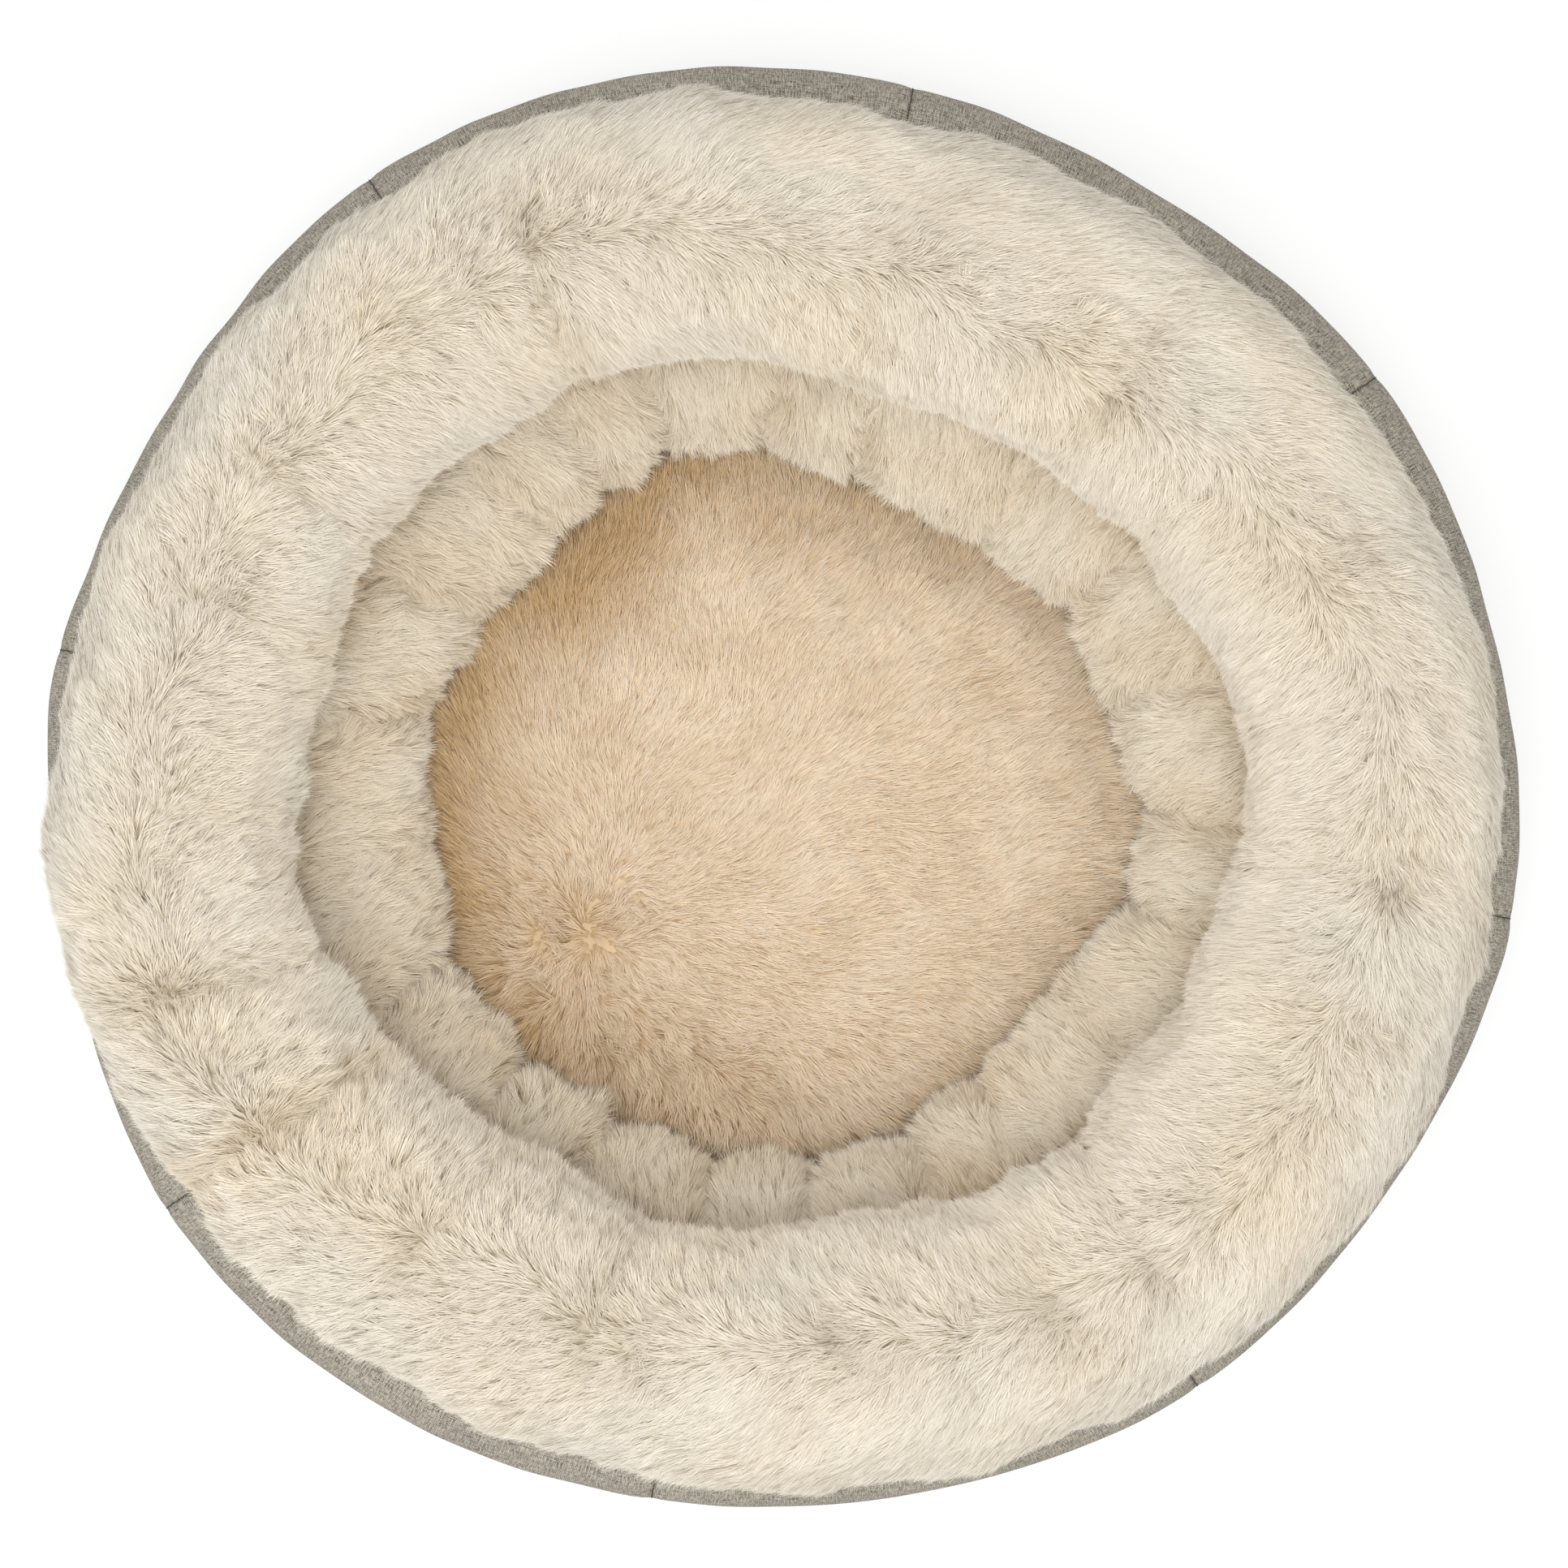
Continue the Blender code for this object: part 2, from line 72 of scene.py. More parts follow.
# How far the woven backing lies below the tips of its pile
RING_PILE_DEPTH = 6 * MM
LOWER_PILE_DEPTH = 4.5 * MM
CUSHION_PILE_DEPTH = 5 * MM
CUSHION_EDGE_INSET = 1 * MM


def numbered(name):
    return [f"{name}_{i + 1}" for i in range(PANELS)]


def at_stations(*names):
    """The radius and height of the nodes' points at each station round the bed."""
    nodes = [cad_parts[name] for name in names]
    points = np.array([v.co for node in nodes for v in node.data.vertices])
    turn = (np.arctan2(points[:, 1], points[:, 0]) - FIRST_SEAM) / FULL_TURN
    station = np.rint(turn * STATIONS).astype(int) % STATIONS
    radius = np.hypot(points[:, 0], points[:, 1])
    return [(radius[station == i], points[station == i, 2]) for i in range(STATIONS)]


def extents(*names):
    """The nodes' outer and inner radius, top and foot, each at every station."""
    ends = [(r.max(), r.min(), z.max(), z.min()) for r, z in at_stations(*names)]
    return np.array(ends).T


def at_angle(values, angle):
    """A smooth closed curve through one value for each station, read at any angles."""
    place = (np.asarray(angle) - FIRST_SEAM) / FULL_TURN * STATIONS
    index = np.floor(place).astype(int)
    part = place - index
    before, start, end, after = (values[(index + k) % STATIONS] for k in (-1, 0, 1, 2))
    slope_start = (end - before) / 2
    slope_end = (after - start) / 2
    rise = end - start
    bend = 3 * rise - 2 * slope_start - slope_end
    twist = slope_start + slope_end - 2 * rise
    return start + part * (slope_start + part * (bend + part * twist))


def ripple(points, wavelength, seed, waves=24):
    """A smooth random field of about -1 to 1, with bumps of one size."""
    random = np.random.default_rng(seed)
    ways = random.normal(size=(waves, 3))
    ways /= np.linalg.norm(ways, axis=1)[:, None]
    phases = random.uniform(0, FULL_TURN, waves)
    return np.cos(points @ ways.T * FULL_TURN / wavelength + phases).sum(-1) / math.sqrt(waves)


def smooth(low, high, values):
    """0 below low and 1 above high, with a smooth rise between them."""
    part = np.clip((values - low) / (high - low), 0, 1)
    return part * part * (3 - 2 * part)


def bell(values):
    """1 at 0, falling smoothly to nothing on either side."""
    return np.exp(-(values**2))


def placed(radius, angle, height):
    return np.stack((radius * np.cos(angle), radius * np.sin(angle), height + 0 * radius), -1)


def round_turn(steps):
    return np.linspace(0, FULL_TURN, steps, endpoint=False)


class Ring:
    """The upper ring as packed: its centre line and its half width and height at any angle."""

    def __init__(self):
        outer, inner, top, foot = extents(*numbered("bolster_plush"))
        self.radius = (outer + inner) / 2
        self.width = (outer - inner) / 2
        self.tall = (top - foot) / (1 - math.sin(RING_CREASE))
        self.level = top - self.tall

    def point(self, angle, around, depth=0.0):
        width = at_angle(self.width, angle) - depth
        tall = at_angle(self.tall, angle) - depth
        radius = at_angle(self.radius, angle) + width * np.cos(around)
        height = at_angle(self.level, angle) + tall * np.sin(around)
        return placed(radius, angle, height)


class LowerRing:
    """The lower ring, which hangs from the upper ring's crease to the floor of the well."""

    def __init__(self, ring):
        _, inner, self.top, self.foot = extents(*numbered("inner_plush"))
        sewn = np.arange(STATIONS) % STATIONS_PER_PLEAT == 0
        free = (np.roll(inner, 1) + np.roll(inner, -1)) / 2
        self.well = np.where(sewn, free, inner)
        self.back = ring.radius + ring.width * math.cos(RING_CREASE)

    def point(self, angle, around, depth=0.0):
        back = at_angle(self.back, angle)
        above = at_angle(self.top, angle) - LOWER_RING_HEIGHT
        below = (LOWER_RING_HEIGHT - at_angle(self.foot, angle)) / -math.sin(LOWER_FOOT)
        tall = np.where(np.sin(around) > 0, above, below)
        radius = back + (back - at_angle(self.well, angle) - depth) * np.cos(around)
        height = LOWER_RING_HEIGHT + (tall - depth) * np.sin(around)
        return placed(radius, angle, height)


class Wall:
    """The flared side wall, as a curve from its foot to its seam with the ring."""

    def __init__(self):
        curves, tops = [], []
        for radius, height in at_stations(*numbered("side_panel")):
            levels = np.unique(np.round(height, 5))
            outside = [radius[np.abs(height - level) < MM].max() for level in levels]
            tops.append(levels[-1])
            curves.append(np.polyfit(levels / levels[-1], outside, 2))
        self.curves = np.array(curves)
        self.top = np.array(tops)

    def point(self, angle, rise, depth=0.0):
        bend, slope, foot = (at_angle(self.curves[:, k], angle) for k in range(3))
        radius = foot + slope * rise + bend * rise * rise - depth
        return placed(radius, angle, at_angle(self.top, angle) * rise)


class Cushion:
    """The cushion's crown and its rounded lower edge."""

    def __init__(self):
        self.radius = extents("cushion_plush")[0]
        self.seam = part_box("cushion_plush")[0].z
        self.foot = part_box("cushion_underside")[0].z
        self.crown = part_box("cushion_plush")[1].z - self.seam

    def top(self, angle, out, depth=0.0):
        rise = (self.crown - depth) * np.sqrt(np.clip(1 - out**CROWN_POWER, 0, 1))
        radius = at_angle(self.radius, angle) - CUSHION_EDGE_INSET
        return placed(radius * out, angle, self.seam + rise)


RING = Ring()
LOWER = LowerRing(RING)
WALL = Wall()
CUSHION = Cushion()

# Folds of the upper ring, where its cover was pressed and then filled: the angle round the bed,
# where the fold starts and ends around the section, and its half width and depth in millimetres
RING_FOLDS = (
    (7.5, 90, 190, 8, 3),
    (24, 55, 110, 12, 4),
    (36, 100, 200, 9, 4),
    (51.5, 45, 185, 12, 5),
    (81, 100, 200, 9, 4),
    (117, 60, 200, 10, 7),
    (150, 75, 200, 9, 6),
    (164, 60, 200, 11, 5),
    (184, 90, 200, 9, 4),
    (200.5, 40, 210, 10, 7),
    (215, -10, 170, 9, 7),
    (233, 60, 190, 9, 4),
    (252, 70, 200, 10, 5),
    (284, 100, 200, 9, 4),
    (298, 55, 110, 16, 5),
    (309, 45, 200, 11, 5),
    (338, 50, 110, 10, 4),
    (353, 60, 200, 16, 4),
)
RING_FOLD_BLUR = 20 * DEG
# The lower ring's gathers: the angle of each, and its half width and depth in millimetres
LOWER_FOLDS = (
    (13, 7, 9), (33, 8, 10), (52, 7, 4), (77, 7, 9), (92, 7, 7), (110, 7, 9), (122, 7, 8),
    (133, 6, 6), (153, 7, 8), (171, 8, 9), (190, 7, 4), (209, 9, 12), (228, 7, 12),
    (243, 7, 11), (260, 7, 11), (274, 7, 9), (289, 7, 8), (304, 8, 7), (323, 7, 5),
    (342, 7, 7), (356, 7, 9),
)
LOWER_FOLD_SWAY = 4 * MM
# Where the upper ring's pile parts on its crest: angles around its section at every 30 degrees
PARTINGS = np.array((82, 93, 108, 100, 82, 86, 78, 78, 98, 104, 90, 82)) * DEG


def apart(angle, other):
    """The signed angle between two directions round the bed."""
    return (angle - other + math.pi) % FULL_TURN - math.pi


def ring_fold_depth(angle, around):
    radius = at_angle(RING.radius, angle)
    depth = np.zeros_like(angle)
    for place, start, end, width, deep in RING_FOLDS:
        away = apart(angle, place * DEG) * radius
        start, end = start * DEG, end * DEG
        inside = smooth(start - RING_FOLD_BLUR, start + RING_FOLD_BLUR, around)
        inside *= 1 - smooth(end - RING_FOLD_BLUR, end + RING_FOLD_BLUR, around)
        depth += deep * MM * bell(away / (width * MM)) * inside
    return depth


def lower_fold_depth(angle, around):
    radius = at_angle(LOWER.well, angle)
    depth = np.zeros_like(angle)
    for place, width, deep in LOWER_FOLDS:
        sway = LOWER_FOLD_SWAY * np.sin(around * 2 + place)
        away = apart(angle, place * DEG) * radius + sway
        depth += deep * MM * bell(away / (width * MM))
    return depth * smooth(80 * DEG, 125 * DEG, around)


def parting_at(angle):
    place = np.mod(angle, FULL_TURN) / FULL_TURN * len(PARTINGS)
    index = np.floor(place).astype(int)
    part = smooth(0, 1, place - index)
    here = PARTINGS[index % len(PARTINGS)]
    return here + (PARTINGS[(index + 1) % len(PARTINGS)] - here) * part


def unit(vectors):
    return vectors / np.maximum(np.linalg.norm(vectors, axis=-1, keepdims=True), 1e-12)


def turned(vectors, normals, angle):
    """Vectors in the surface, turned in it by an angle."""
    across = np.cross(normals, vectors)
    return vectors * np.cos(angle)[..., None] + across * np.sin(angle)[..., None]


def slopes(point_at, first, second, step=1e-3):
    """Unit tangents of a surface along its two parameters, and its outward normal."""
    along_first = unit(point_at(first + step, second) - point_at(first - step, second))
    along_second = unit(point_at(first, second + step) - point_at(first, second - step))
    return along_first, along_second, unit(np.cross(along_first, along_second))


def link(made):
    bpy.context.scene.collection.objects.link(made)
    return made


def discard(*spares):
    for spare in spares:
        bpy.data.objects.remove(spare, do_unlink=True)


def mesh_object(name, points, faces, edges=()):
    mesh = bpy.data.meshes.new(name)
    mesh.from_pydata(np.asarray(points).reshape(-1, 3).tolist(), list(edges), faces)
    mesh.shade_smooth()
    return link(bpy.data.objects.new(name, mesh))


def closed_skin(name, grid, endless=False):
    """A closed skin over a grid of loops of points.

    Each end has a flat cap, unless the loops are endless and come back to the first one.
    """
    loops, size = grid.shape[:2]
    faces = [] if endless else [range(size), range(loops * size - 1, (loops - 1) * size - 1, -1)]
    caps = len(faces)
    for i in range(loops if endless else loops - 1):
        near, far = i * size, (i + 1) % loops * size
        for j in range(size):
            k = (j + 1) % size
            faces.append((near + j, far + j, far + k, near + k))
    made = mesh_object(name, grid, faces)
    for cap in range(caps):
        made.data.polygons[cap].use_smooth = False
    return made


def set_values(made, name, values):
    kind = "FLOAT_VECTOR" if values.shape[-1] == 3 and values.ndim > 1 else "FLOAT"
    key = "vector" if kind == "FLOAT_VECTOR" else "value"
    attribute = made.data.attributes.new(name, kind, "POINT")
    attribute.data.foreach_set(key, np.ascontiguousarray(values, np.float32).ravel())


def values_of(made, name):
    values = np.zeros(len(made.data.vertices), np.float32)
    made.data.attributes[name].data.foreach_get("value", values)
    return values


def set_map(made, name, across, along):
    """A UV map with one pair of values for each vertex."""
    mesh = made.data
    corners = np.zeros(len(mesh.loops), np.int32)
    mesh.loops.foreach_get("vertex_index", corners)
    layer = mesh.uv_layers.new(name=name)
    pairs = np.stack((across[corners], along[corners]), -1).astype(np.float32)
    layer.uv.foreach_set("vector", pairs.ravel())


# The kinds of node that are used more than once
MATH = "ShaderNodeMath"
MAP_RANGE = "ShaderNodeMapRange"
MAPPING = "ShaderNodeMapping"
MIX = "ShaderNodeMix"
NOISE = "ShaderNodeTexNoise"
RAMP = "ShaderNodeValToRGB"
BUMP = "ShaderNodeBump"
TEXTURE_PLACE = "ShaderNodeTexCoord"
ATTRIBUTE = "ShaderNodeAttribute"
VECTOR_MATH = "ShaderNodeVectorMath"
RANDOM = "FunctionNodeRandomValue"
NAMED_ATTRIBUTE = "GeometryNodeInputNamedAttribute"
ON_POINTS = "GeometryNodeInstanceOnPoints"


def result(made, name=None):
    """A node's output of that name, or its first one in use."""
    return next(s for s in made.outputs if s.enabled and name in (None, s.name))


def wire(tree, made, inputs):
    """Sets a node's inputs. Each is a value, or a socket or a node to link to it."""
    for key, value in inputs.items():
        if isinstance(key, int):
            socket = made.inputs[key]
        else:
            socket = next(s for s in made.inputs if s.name == key and s.enabled)
        if isinstance(value, bpy.types.Node):
            value = result(value)
        if isinstance(value, bpy.types.NodeSocket):
            tree.links.new(value, socket)
        else:
            socket.default_value = value


def add(tree, kind, inputs=None, **settings):
    """A node with its settings and its inputs."""
    made = tree.nodes.new(kind)
    for name, value in settings.items():
        setattr(made, name, value)
    wire(tree, made, inputs or {})
    return made


def linear(code):
    """The linear colour of an sRGB hex value."""
    parts = [int(code[i : i + 2], 16) / 255 for i in (1, 3, 5)]
    return [p / 12.92 if p <= 0.04045 else ((p + 0.055) / 1.055) ** 2.4 for p in parts] + [1.0]


def paint(ramp, first, last, *between):
    """Sets a colour ramp's stops, each a place and an sRGB hex value."""
    elements = ramp.color_ramp.elements
    for element, (place, code) in zip(elements, (first, last)):
        element.position = place
        element.color = linear(code)
    for place, code in between:
        elements.new(place).color = linear(code)


def new_material(name):
    made = bpy.data.materials.new(name)
    made.use_nodes = True
    return made, made.node_tree, made.node_tree.nodes["Principled BSDF"]


def plush_material(name, cool, warm):
    """Long polyester pile: pale matt tips over darker roots, which show where the pile parts.

    cool and warm are the colours of a strand's root, middle and tip, between which its shade goes.
    """
    made, tree, shader = new_material(name)
    along = add(tree, ATTRIBUTE, attribute_name="along")
    shade = add(tree, ATTRIBUTE, attribute_name="shade")
    tints = []
    # The darker roots are partly the fibre's own grey and partly painted shade of the gaps between
    # locks
    for root, middle, tip in (cool, warm):
        tints.append(add(tree, RAMP, {"Fac": result(along, "Fac")}))
        paint(tints[-1], (0, root), (1, tip), (0.5, middle))
    sides = {0: result(shade, "Fac"), 6: tints[0], 7: tints[1]}
    looks = {
        "Base Color": add(tree, MIX, sides, data_type="RGBA"),
        "Roughness": 0.75,
        "Specular IOR Level": 0.2,
        "Sheen Weight": 0.2,
        "Sheen Roughness": 0.5,
    }
    wire(tree, shader, looks)
    return made


# How much painted shade darkens a woven cloth between its threads, and how much its tone drifts
# over the distance at which cloth wears
THREAD_SHADE_TONES = {"To Min": -0.16, "To Max": 0.05}
WORN_TONES = {"To Min": -0.05, "To Max": 0.05}
WEAR_PER_METRE = 14.0


def woven_material(name, gap, slub, dark, pale, roughness, relief, place=None):
    """Plain woven cloth: warp and weft threads that pass over and under each other.

    gap is the spacing of its threads and slub the length over which a thread keeps one tone.
    """
    made, tree, shader = new_material(name)
    if place:
        spot = result(add(tree, "ShaderNodeUVMap", uv_map=place))
    else:
        spot = result(add(tree, TEXTURE_PLACE), "Object")
    flat = add(tree, MAPPING, {"Vector": spot, "Scale": (1 / gap, 1 / gap, 0)})
    parts = add(tree, "ShaderNodeSeparateXYZ", {0: flat})
    over = result(add(tree, "ShaderNodeTexChecker", {"Vector": flat, "Scale": 1.0}), "Fac")
    ridges, tones = [], []
    for axis, scale in (("X", (1 / gap, 1 / slub, 0)), ("Y", (1 / slub, 1 / gap, 0))):
        turns = add(tree, MATH, {0: result(parts, axis), 1: math.pi}, operation="MULTIPLY")
        wave = add(tree, MATH, {0: turns}, operation="SINE")
        ridges.append(add(tree, MATH, {0: wave}, operation="ABSOLUTE"))
        threads = add(tree, MAPPING, {"Vector": spot, "Scale": scale})
        slubs = {"Vector": threads, "Scale": 1.0, "Detail": 2.0, "Roughness": 0.6}
        noise = add(tree, NOISE, slubs, noise_dimensions="2D")
        tones.append(result(noise, "Fac"))
    height, tone = (
        add(tree, MIX, {0: over, 2: warp, 3: weft}, data_type="FLOAT")
        for warp, weft in (ridges, tones)
    )
    # Painted shade, darker where the threads lie low
    sunk = add(tree, MAP_RANGE, {"Value": height, **THREAD_SHADE_TONES})
    wear = {"Vector": spot, "Scale": WEAR_PER_METRE, "Detail": 3.0}
    clouds = add(tree, NOISE, wear, noise_dimensions="3D")
    worn = add(tree, MAP_RANGE, {"Value": result(clouds, "Fac"), **WORN_TONES})
    seen = add(tree, MATH, {0: tone, 1: sunk}, operation="ADD")
    total = add(tree, MATH, {0: seen, 1: worn}, operation="ADD")
    ramp = add(tree, RAMP, {"Fac": total})
    paint(ramp, (0.34, dark), (0.60, pale))
    bump = {"Height": height, "Distance": relief, "Strength": 0.6}
    looks = {
        "Base Color": ramp,
        "Normal": add(tree, BUMP, bump),
        "Roughness": roughness,
        "Specular IOR Level": 0.25,
        "Sheen Weight": 0.1,
    }
    wire(tree, shader, looks)
    return made


ROUGHNESS_DRIFT = 0.08


def grained_material(name, dark, pale, grain, relief, roughness, metallic=0.0):
    """A finish with one fine grain, such as fibre, foam cells or the skin of cast metal."""
    made, tree, shader = new_material(name)
    spot = result(add(tree, TEXTURE_PLACE), "Object")
    fineness = {"Vector": spot, "Scale": 1 / grain, "Detail": 4.0, "Roughness": 0.65}
    grains = result(add(tree, NOISE, fineness), "Fac")
    ramp = add(tree, RAMP, {"Fac": grains})
    paint(ramp, (0.3, dark), (0.7, pale))
    duller, shinier = roughness + ROUGHNESS_DRIFT, roughness - ROUGHNESS_DRIFT
    rubbed = {"Value": grains, "To Min": duller, "To Max": shinier}
    bump = {"Height": grains, "Distance": relief, "Strength": 0.5}
    looks = {
        "Base Color": ramp,
        "Roughness": add(tree, MAP_RANGE, rubbed),
        "Normal": add(tree, BUMP, bump),
        "Metallic": metallic,
    }
    wire(tree, shader, looks)
    return made


LOCKS_OF_A_KIND = 6
STRANDS_IN_LOCK = 14
STRAND_POINTS = 3
# How much the strands of a lock differ in lean and roll, and how short the shortest one is
LEAN_SPREAD = 0.09
ROLL_SPREAD = 0.3
SHORTEST_STRAND = 0.72


def lock_mesh(name, seed, length, spread, width, lean, meet, stray):
    """A small lock of pile: flat pointed strands that lean over along +X.

    spread is its radius at the root, meet how far its tips come together and stray how far they
    sway apart.
    """
    random = np.random.default_rng(seed)
    points, faces, along, side = [], [], [], []
    for strand in range(STRANDS_IN_LOCK):
        turn = random.uniform(0, FULL_TURN)
        far = spread * math.sqrt(random.uniform(0, 1))
        root = np.array((far * math.cos(turn), far * math.sin(turn), 0.0))
        tilt = lean + random.normal() * LEAN_SPREAD
        sway = random.normal() * stray
        roll = random.normal() * ROLL_SPREAD
        reach = np.array((math.sin(tilt), sway, math.cos(tilt)))
        reach = reach * random.uniform(SHORTEST_STRAND, 1.0)
        across = np.array((0.0, math.cos(roll), math.sin(roll))) * width / 2
        first = len(points)
        points += [root - across, root + across, root * (1 - meet) + reach * length]
        along += [0.0, 0.0, 1.0]
        side += [-1.0, 1.0, 0.0]
        faces.append((first, first + 2, first + 1))
    made = mesh_object(name, points, faces)
    bpy.context.scene.collection.objects.unlink(made)
    set_values(made, "along", np.array(along))
    set_values(made, "side", np.array(side))
    return made


def lock_set(name, smooth_lock, tufted_lock):
    """A collection of locks for the pile to draw from: smooth ones, and tufts that cling."""
    made = bpy.data.collections.new(name)
    for seed in range(LOCKS_OF_A_KIND):
        for kind, shape in (("smooth", smooth_lock), ("tufted", tufted_lock)):
            made.objects.link(lock_mesh(f"{kind}_{name}_{seed}", seed, **shape))
    return made


def new_tree(name, *sockets):
    """A geometry nodes tree with its group input, for sockets of (name, kind, value)."""
    tree = bpy.data.node_groups.new(name, "GeometryNodeTree")
    for label, kind, *value in sockets + (("Finish", "Material"),):
        kind = "NodeSocket" + kind
        made = tree.interface.new_socket(name=label, in_out="INPUT", socket_type=kind)
        if value:
            made.default_value = value[0]
    tree.interface.new_socket(name="Geometry", in_out="OUTPUT", socket_type="NodeSocketGeometry")
    return tree, add(tree, "NodeGroupInput")


def finish_tree(tree, given, instances):
    """Ends a tree: its instances become real and take their finish."""
    real = add(tree, "GeometryNodeRealizeInstances", {"Geometry": instances})
    finish = {"Geometry": real, "Material": result(given, "Finish")}
    finished = add(tree, "GeometryNodeSetMaterial", finish)
    add(tree, "NodeGroupOutput", {"Geometry": finished})
    return tree


# Locks offered for each square of the least gap between them, of which the gap leaves some out
CROWDING = 3.0
# How the locks vary: turned by so many radians about their own axes, and scaled
TURNS = {"Min": (-0.05, -0.14, -0.26), "Max": (0.05, 0.10, 0.26), "Seed": 3}
SIZES = {"Min": 0.8, "Max": 1.15, "Seed": 5}
PICKS = {"Min": 0, "Max": LOCKS_OF_A_KIND - 1, "Seed": 7}
TONES = {"Min": 0.0, "Max": 1.0, "Seed": 9}
TUFTED_SEED = 8


def pile_tree():
    """Grows locks on a skin, spaced, combed and scaled as its attributes say."""
    tree, given = new_tree(
        "plush_pile",
        ("Skin", "Geometry"),
        ("Locks", "Collection"),
        ("Least gap", "Float", 2 * MM),
        ("Seed", "Int", 0),
    )
    kinds = dict.fromkeys(("grown", "stand", "size", "tufted", "loose"), "FLOAT")
    kinds.update(comb="FLOAT_VECTOR", planted="BOOLEAN")
    named = {
        name: add(tree, NAMED_ATTRIBUTE, {"Name": name}, data_type=kind)
        for name, kind in kinds.items()
    }
    gap = result(given, "Least gap")
    square = add(tree, MATH, {0: gap, 1: 2.0}, operation="POWER")
    spacing = {
        "Mesh": result(given, "Skin"),
        "Selection": named["planted"],
        "Distance Min": gap,
        "Density Max": add(tree, MATH, {0: CROWDING, 1: square}, operation="DIVIDE"),
        "Density Factor": named["grown"],
        "Seed": result(given, "Seed"),
    }
    kind = "GeometryNodeDistributePointsOnFaces"
    spots = add(tree, kind, spacing, distribute_method="POISSON")
    normal = result(spots, "Normal")

    axes = {"Primary Axis": normal, "Secondary Axis": named["comb"]}
    kind = "FunctionNodeAxesToRotation"
    lying = add(tree, kind, axes, primary_axis="Z", secondary_axis="X")
    turns = add(tree, RANDOM, TURNS, data_type="FLOAT_VECTOR")
    loose = add(tree, VECTOR_MATH, {0: turns, "Scale": named["loose"]}, operation="SCALE")
    upright = add(tree, "ShaderNodeCombineXYZ", {"Y": named["stand"]})
    turn = add(tree, VECTOR_MATH, {0: loose, 1: upright}, operation="SUBTRACT")
    twist = add(tree, "FunctionNodeEulerToRotation", {"Euler": turn})
    turning = {"Rotation": lying, "Rotate By": twist}
    rotated = add(tree, "FunctionNodeRotateRotation", turning, rotation_space="LOCAL")

    vary = add(tree, RANDOM, SIZES, data_type="FLOAT")
    chance = {"Probability": named["tufted"], "Seed": TUFTED_SEED}
    choice = {
        0: add(tree, RANDOM, chance, data_type="BOOLEAN"),
        1: float(LOCKS_OF_A_KIND),
        2: add(tree, RANDOM, PICKS, data_type="INT"),
    }
    locks = {
        "Collection": result(given, "Locks"),
        "Separate Children": True,
        "Reset Children": True,
    }
    planting = {
        "Points": result(spots, "Points"),
        "Instance": add(tree, "GeometryNodeCollectionInfo", locks),
        "Pick Instance": True,
        "Instance Index": add(tree, MATH, choice, operation="MULTIPLY_ADD"),
        "Rotation": rotated,
        "Scale": add(tree, MATH, {0: named["size"], 1: vary}, operation="MULTIPLY"),
    }
    growing = add(tree, ON_POINTS, planting)

    tone = add(tree, RANDOM, TONES, data_type="FLOAT")
    store = "GeometryNodeStoreNamedAttribute"
    for name, kind, value in (("tone", "FLOAT", tone), ("facing", "FLOAT_VECTOR", normal)):
        kept = {"Geometry": growing, "Name": name, "Value": value}
        growing = add(tree, store, kept, data_type=kind, domain="INSTANCE")
    return finish_tree(tree, given, growing)


STITCH_PITCH = 3.2 * MM
STITCH_RADII = (0.35 * MM, 0.35 * MM, 1.3 * MM)


def stitch_tree():
    """Lays stitches end to end along a seam."""
    tree, given = new_tree(
        "seam_stitches",
        ("Seam", "Geometry"),
        ("Pitch", "Float", STITCH_PITCH),
        ("Stitch", "Vector", STITCH_RADII),
    )
    line = add(tree, "GeometryNodeMeshToCurve", {"Mesh": result(given, "Seam")})
    spacing = {"Curve": line, "Length": result(given, "Pitch")}
    spots = add(tree, "GeometryNodeCurveToPoints", spacing, mode="LENGTH")
    stitch = add(tree, "GeometryNodeMeshUVSphere", {"Segments": 6, "Rings": 4, "Radius": 1.0})
    sewn = {
        "Points": result(spots, "Points"),
        "Instance": add(tree, "GeometryNodeSetShadeSmooth", {"Geometry": stitch}),
        "Rotation": result(spots, "Rotation"),
        "Scale": result(given, "Stitch"),
    }
    return finish_tree(tree, given, add(tree, ON_POINTS, sewn))


def row_tree():
    """Sets one shape at every point of a mesh, unturned."""
    tree, given = new_tree("row_of_shapes", ("Places", "Geometry"), ("Shape", "Object"))
    shape = add(tree, "GeometryNodeObjectInfo", {"Object": result(given, "Shape")})
    row = {"Points": result(given, "Places"), "Instance": result(shape, "Geometry")}
    return finish_tree(tree, given, add(tree, ON_POINTS, row))


PILE_TREE = pile_tree()
STITCH_TREE = stitch_tree()
ROW_TREE = row_tree()


def plain_mesh(source):
    """A new mesh of an object, as its modifiers leave it."""
    depsgraph = bpy.context.evaluated_depsgraph_get()
    return bpy.data.meshes.new_from_object(source.evaluated_get(depsgraph))


def made_by(tree, name, source, material, values):
    """Runs a geometry nodes tree on an object, and keeps what it makes as a plain mesh."""
    modifier = source.modifiers.new(tree.name, "NODES")
    modifier.node_group = tree
    values = {**values, "Finish": material}
    for item in tree.interface.items_tree:
        if item.in_out == "INPUT" and item.name in values:
            modifier[item.identifier] = values[item.name]
    mesh = plain_mesh(source)
    source.modifiers.remove(modifier)
    mesh.name = name
    mesh.materials.clear()
    mesh.materials.append(material)
    return link(bpy.data.objects.new(name, mesh))


def dress(made, material, slot, body, *nodes):
    """Gives a piece its finish and its body, and hides the nodes that it stands for. Its slot is
    not used.
    """
    made.data.materials.clear()
    made.data.materials.append(material)
    if nodes:
        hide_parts(*nodes)
    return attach(made, body)


BAKE_MAP = "OFBake"
# How far the strands' shades differ, and the share of the map's breadth that one strand takes
SHADE_SPREAD = 0.5
STRAND_SHARE = 0.02
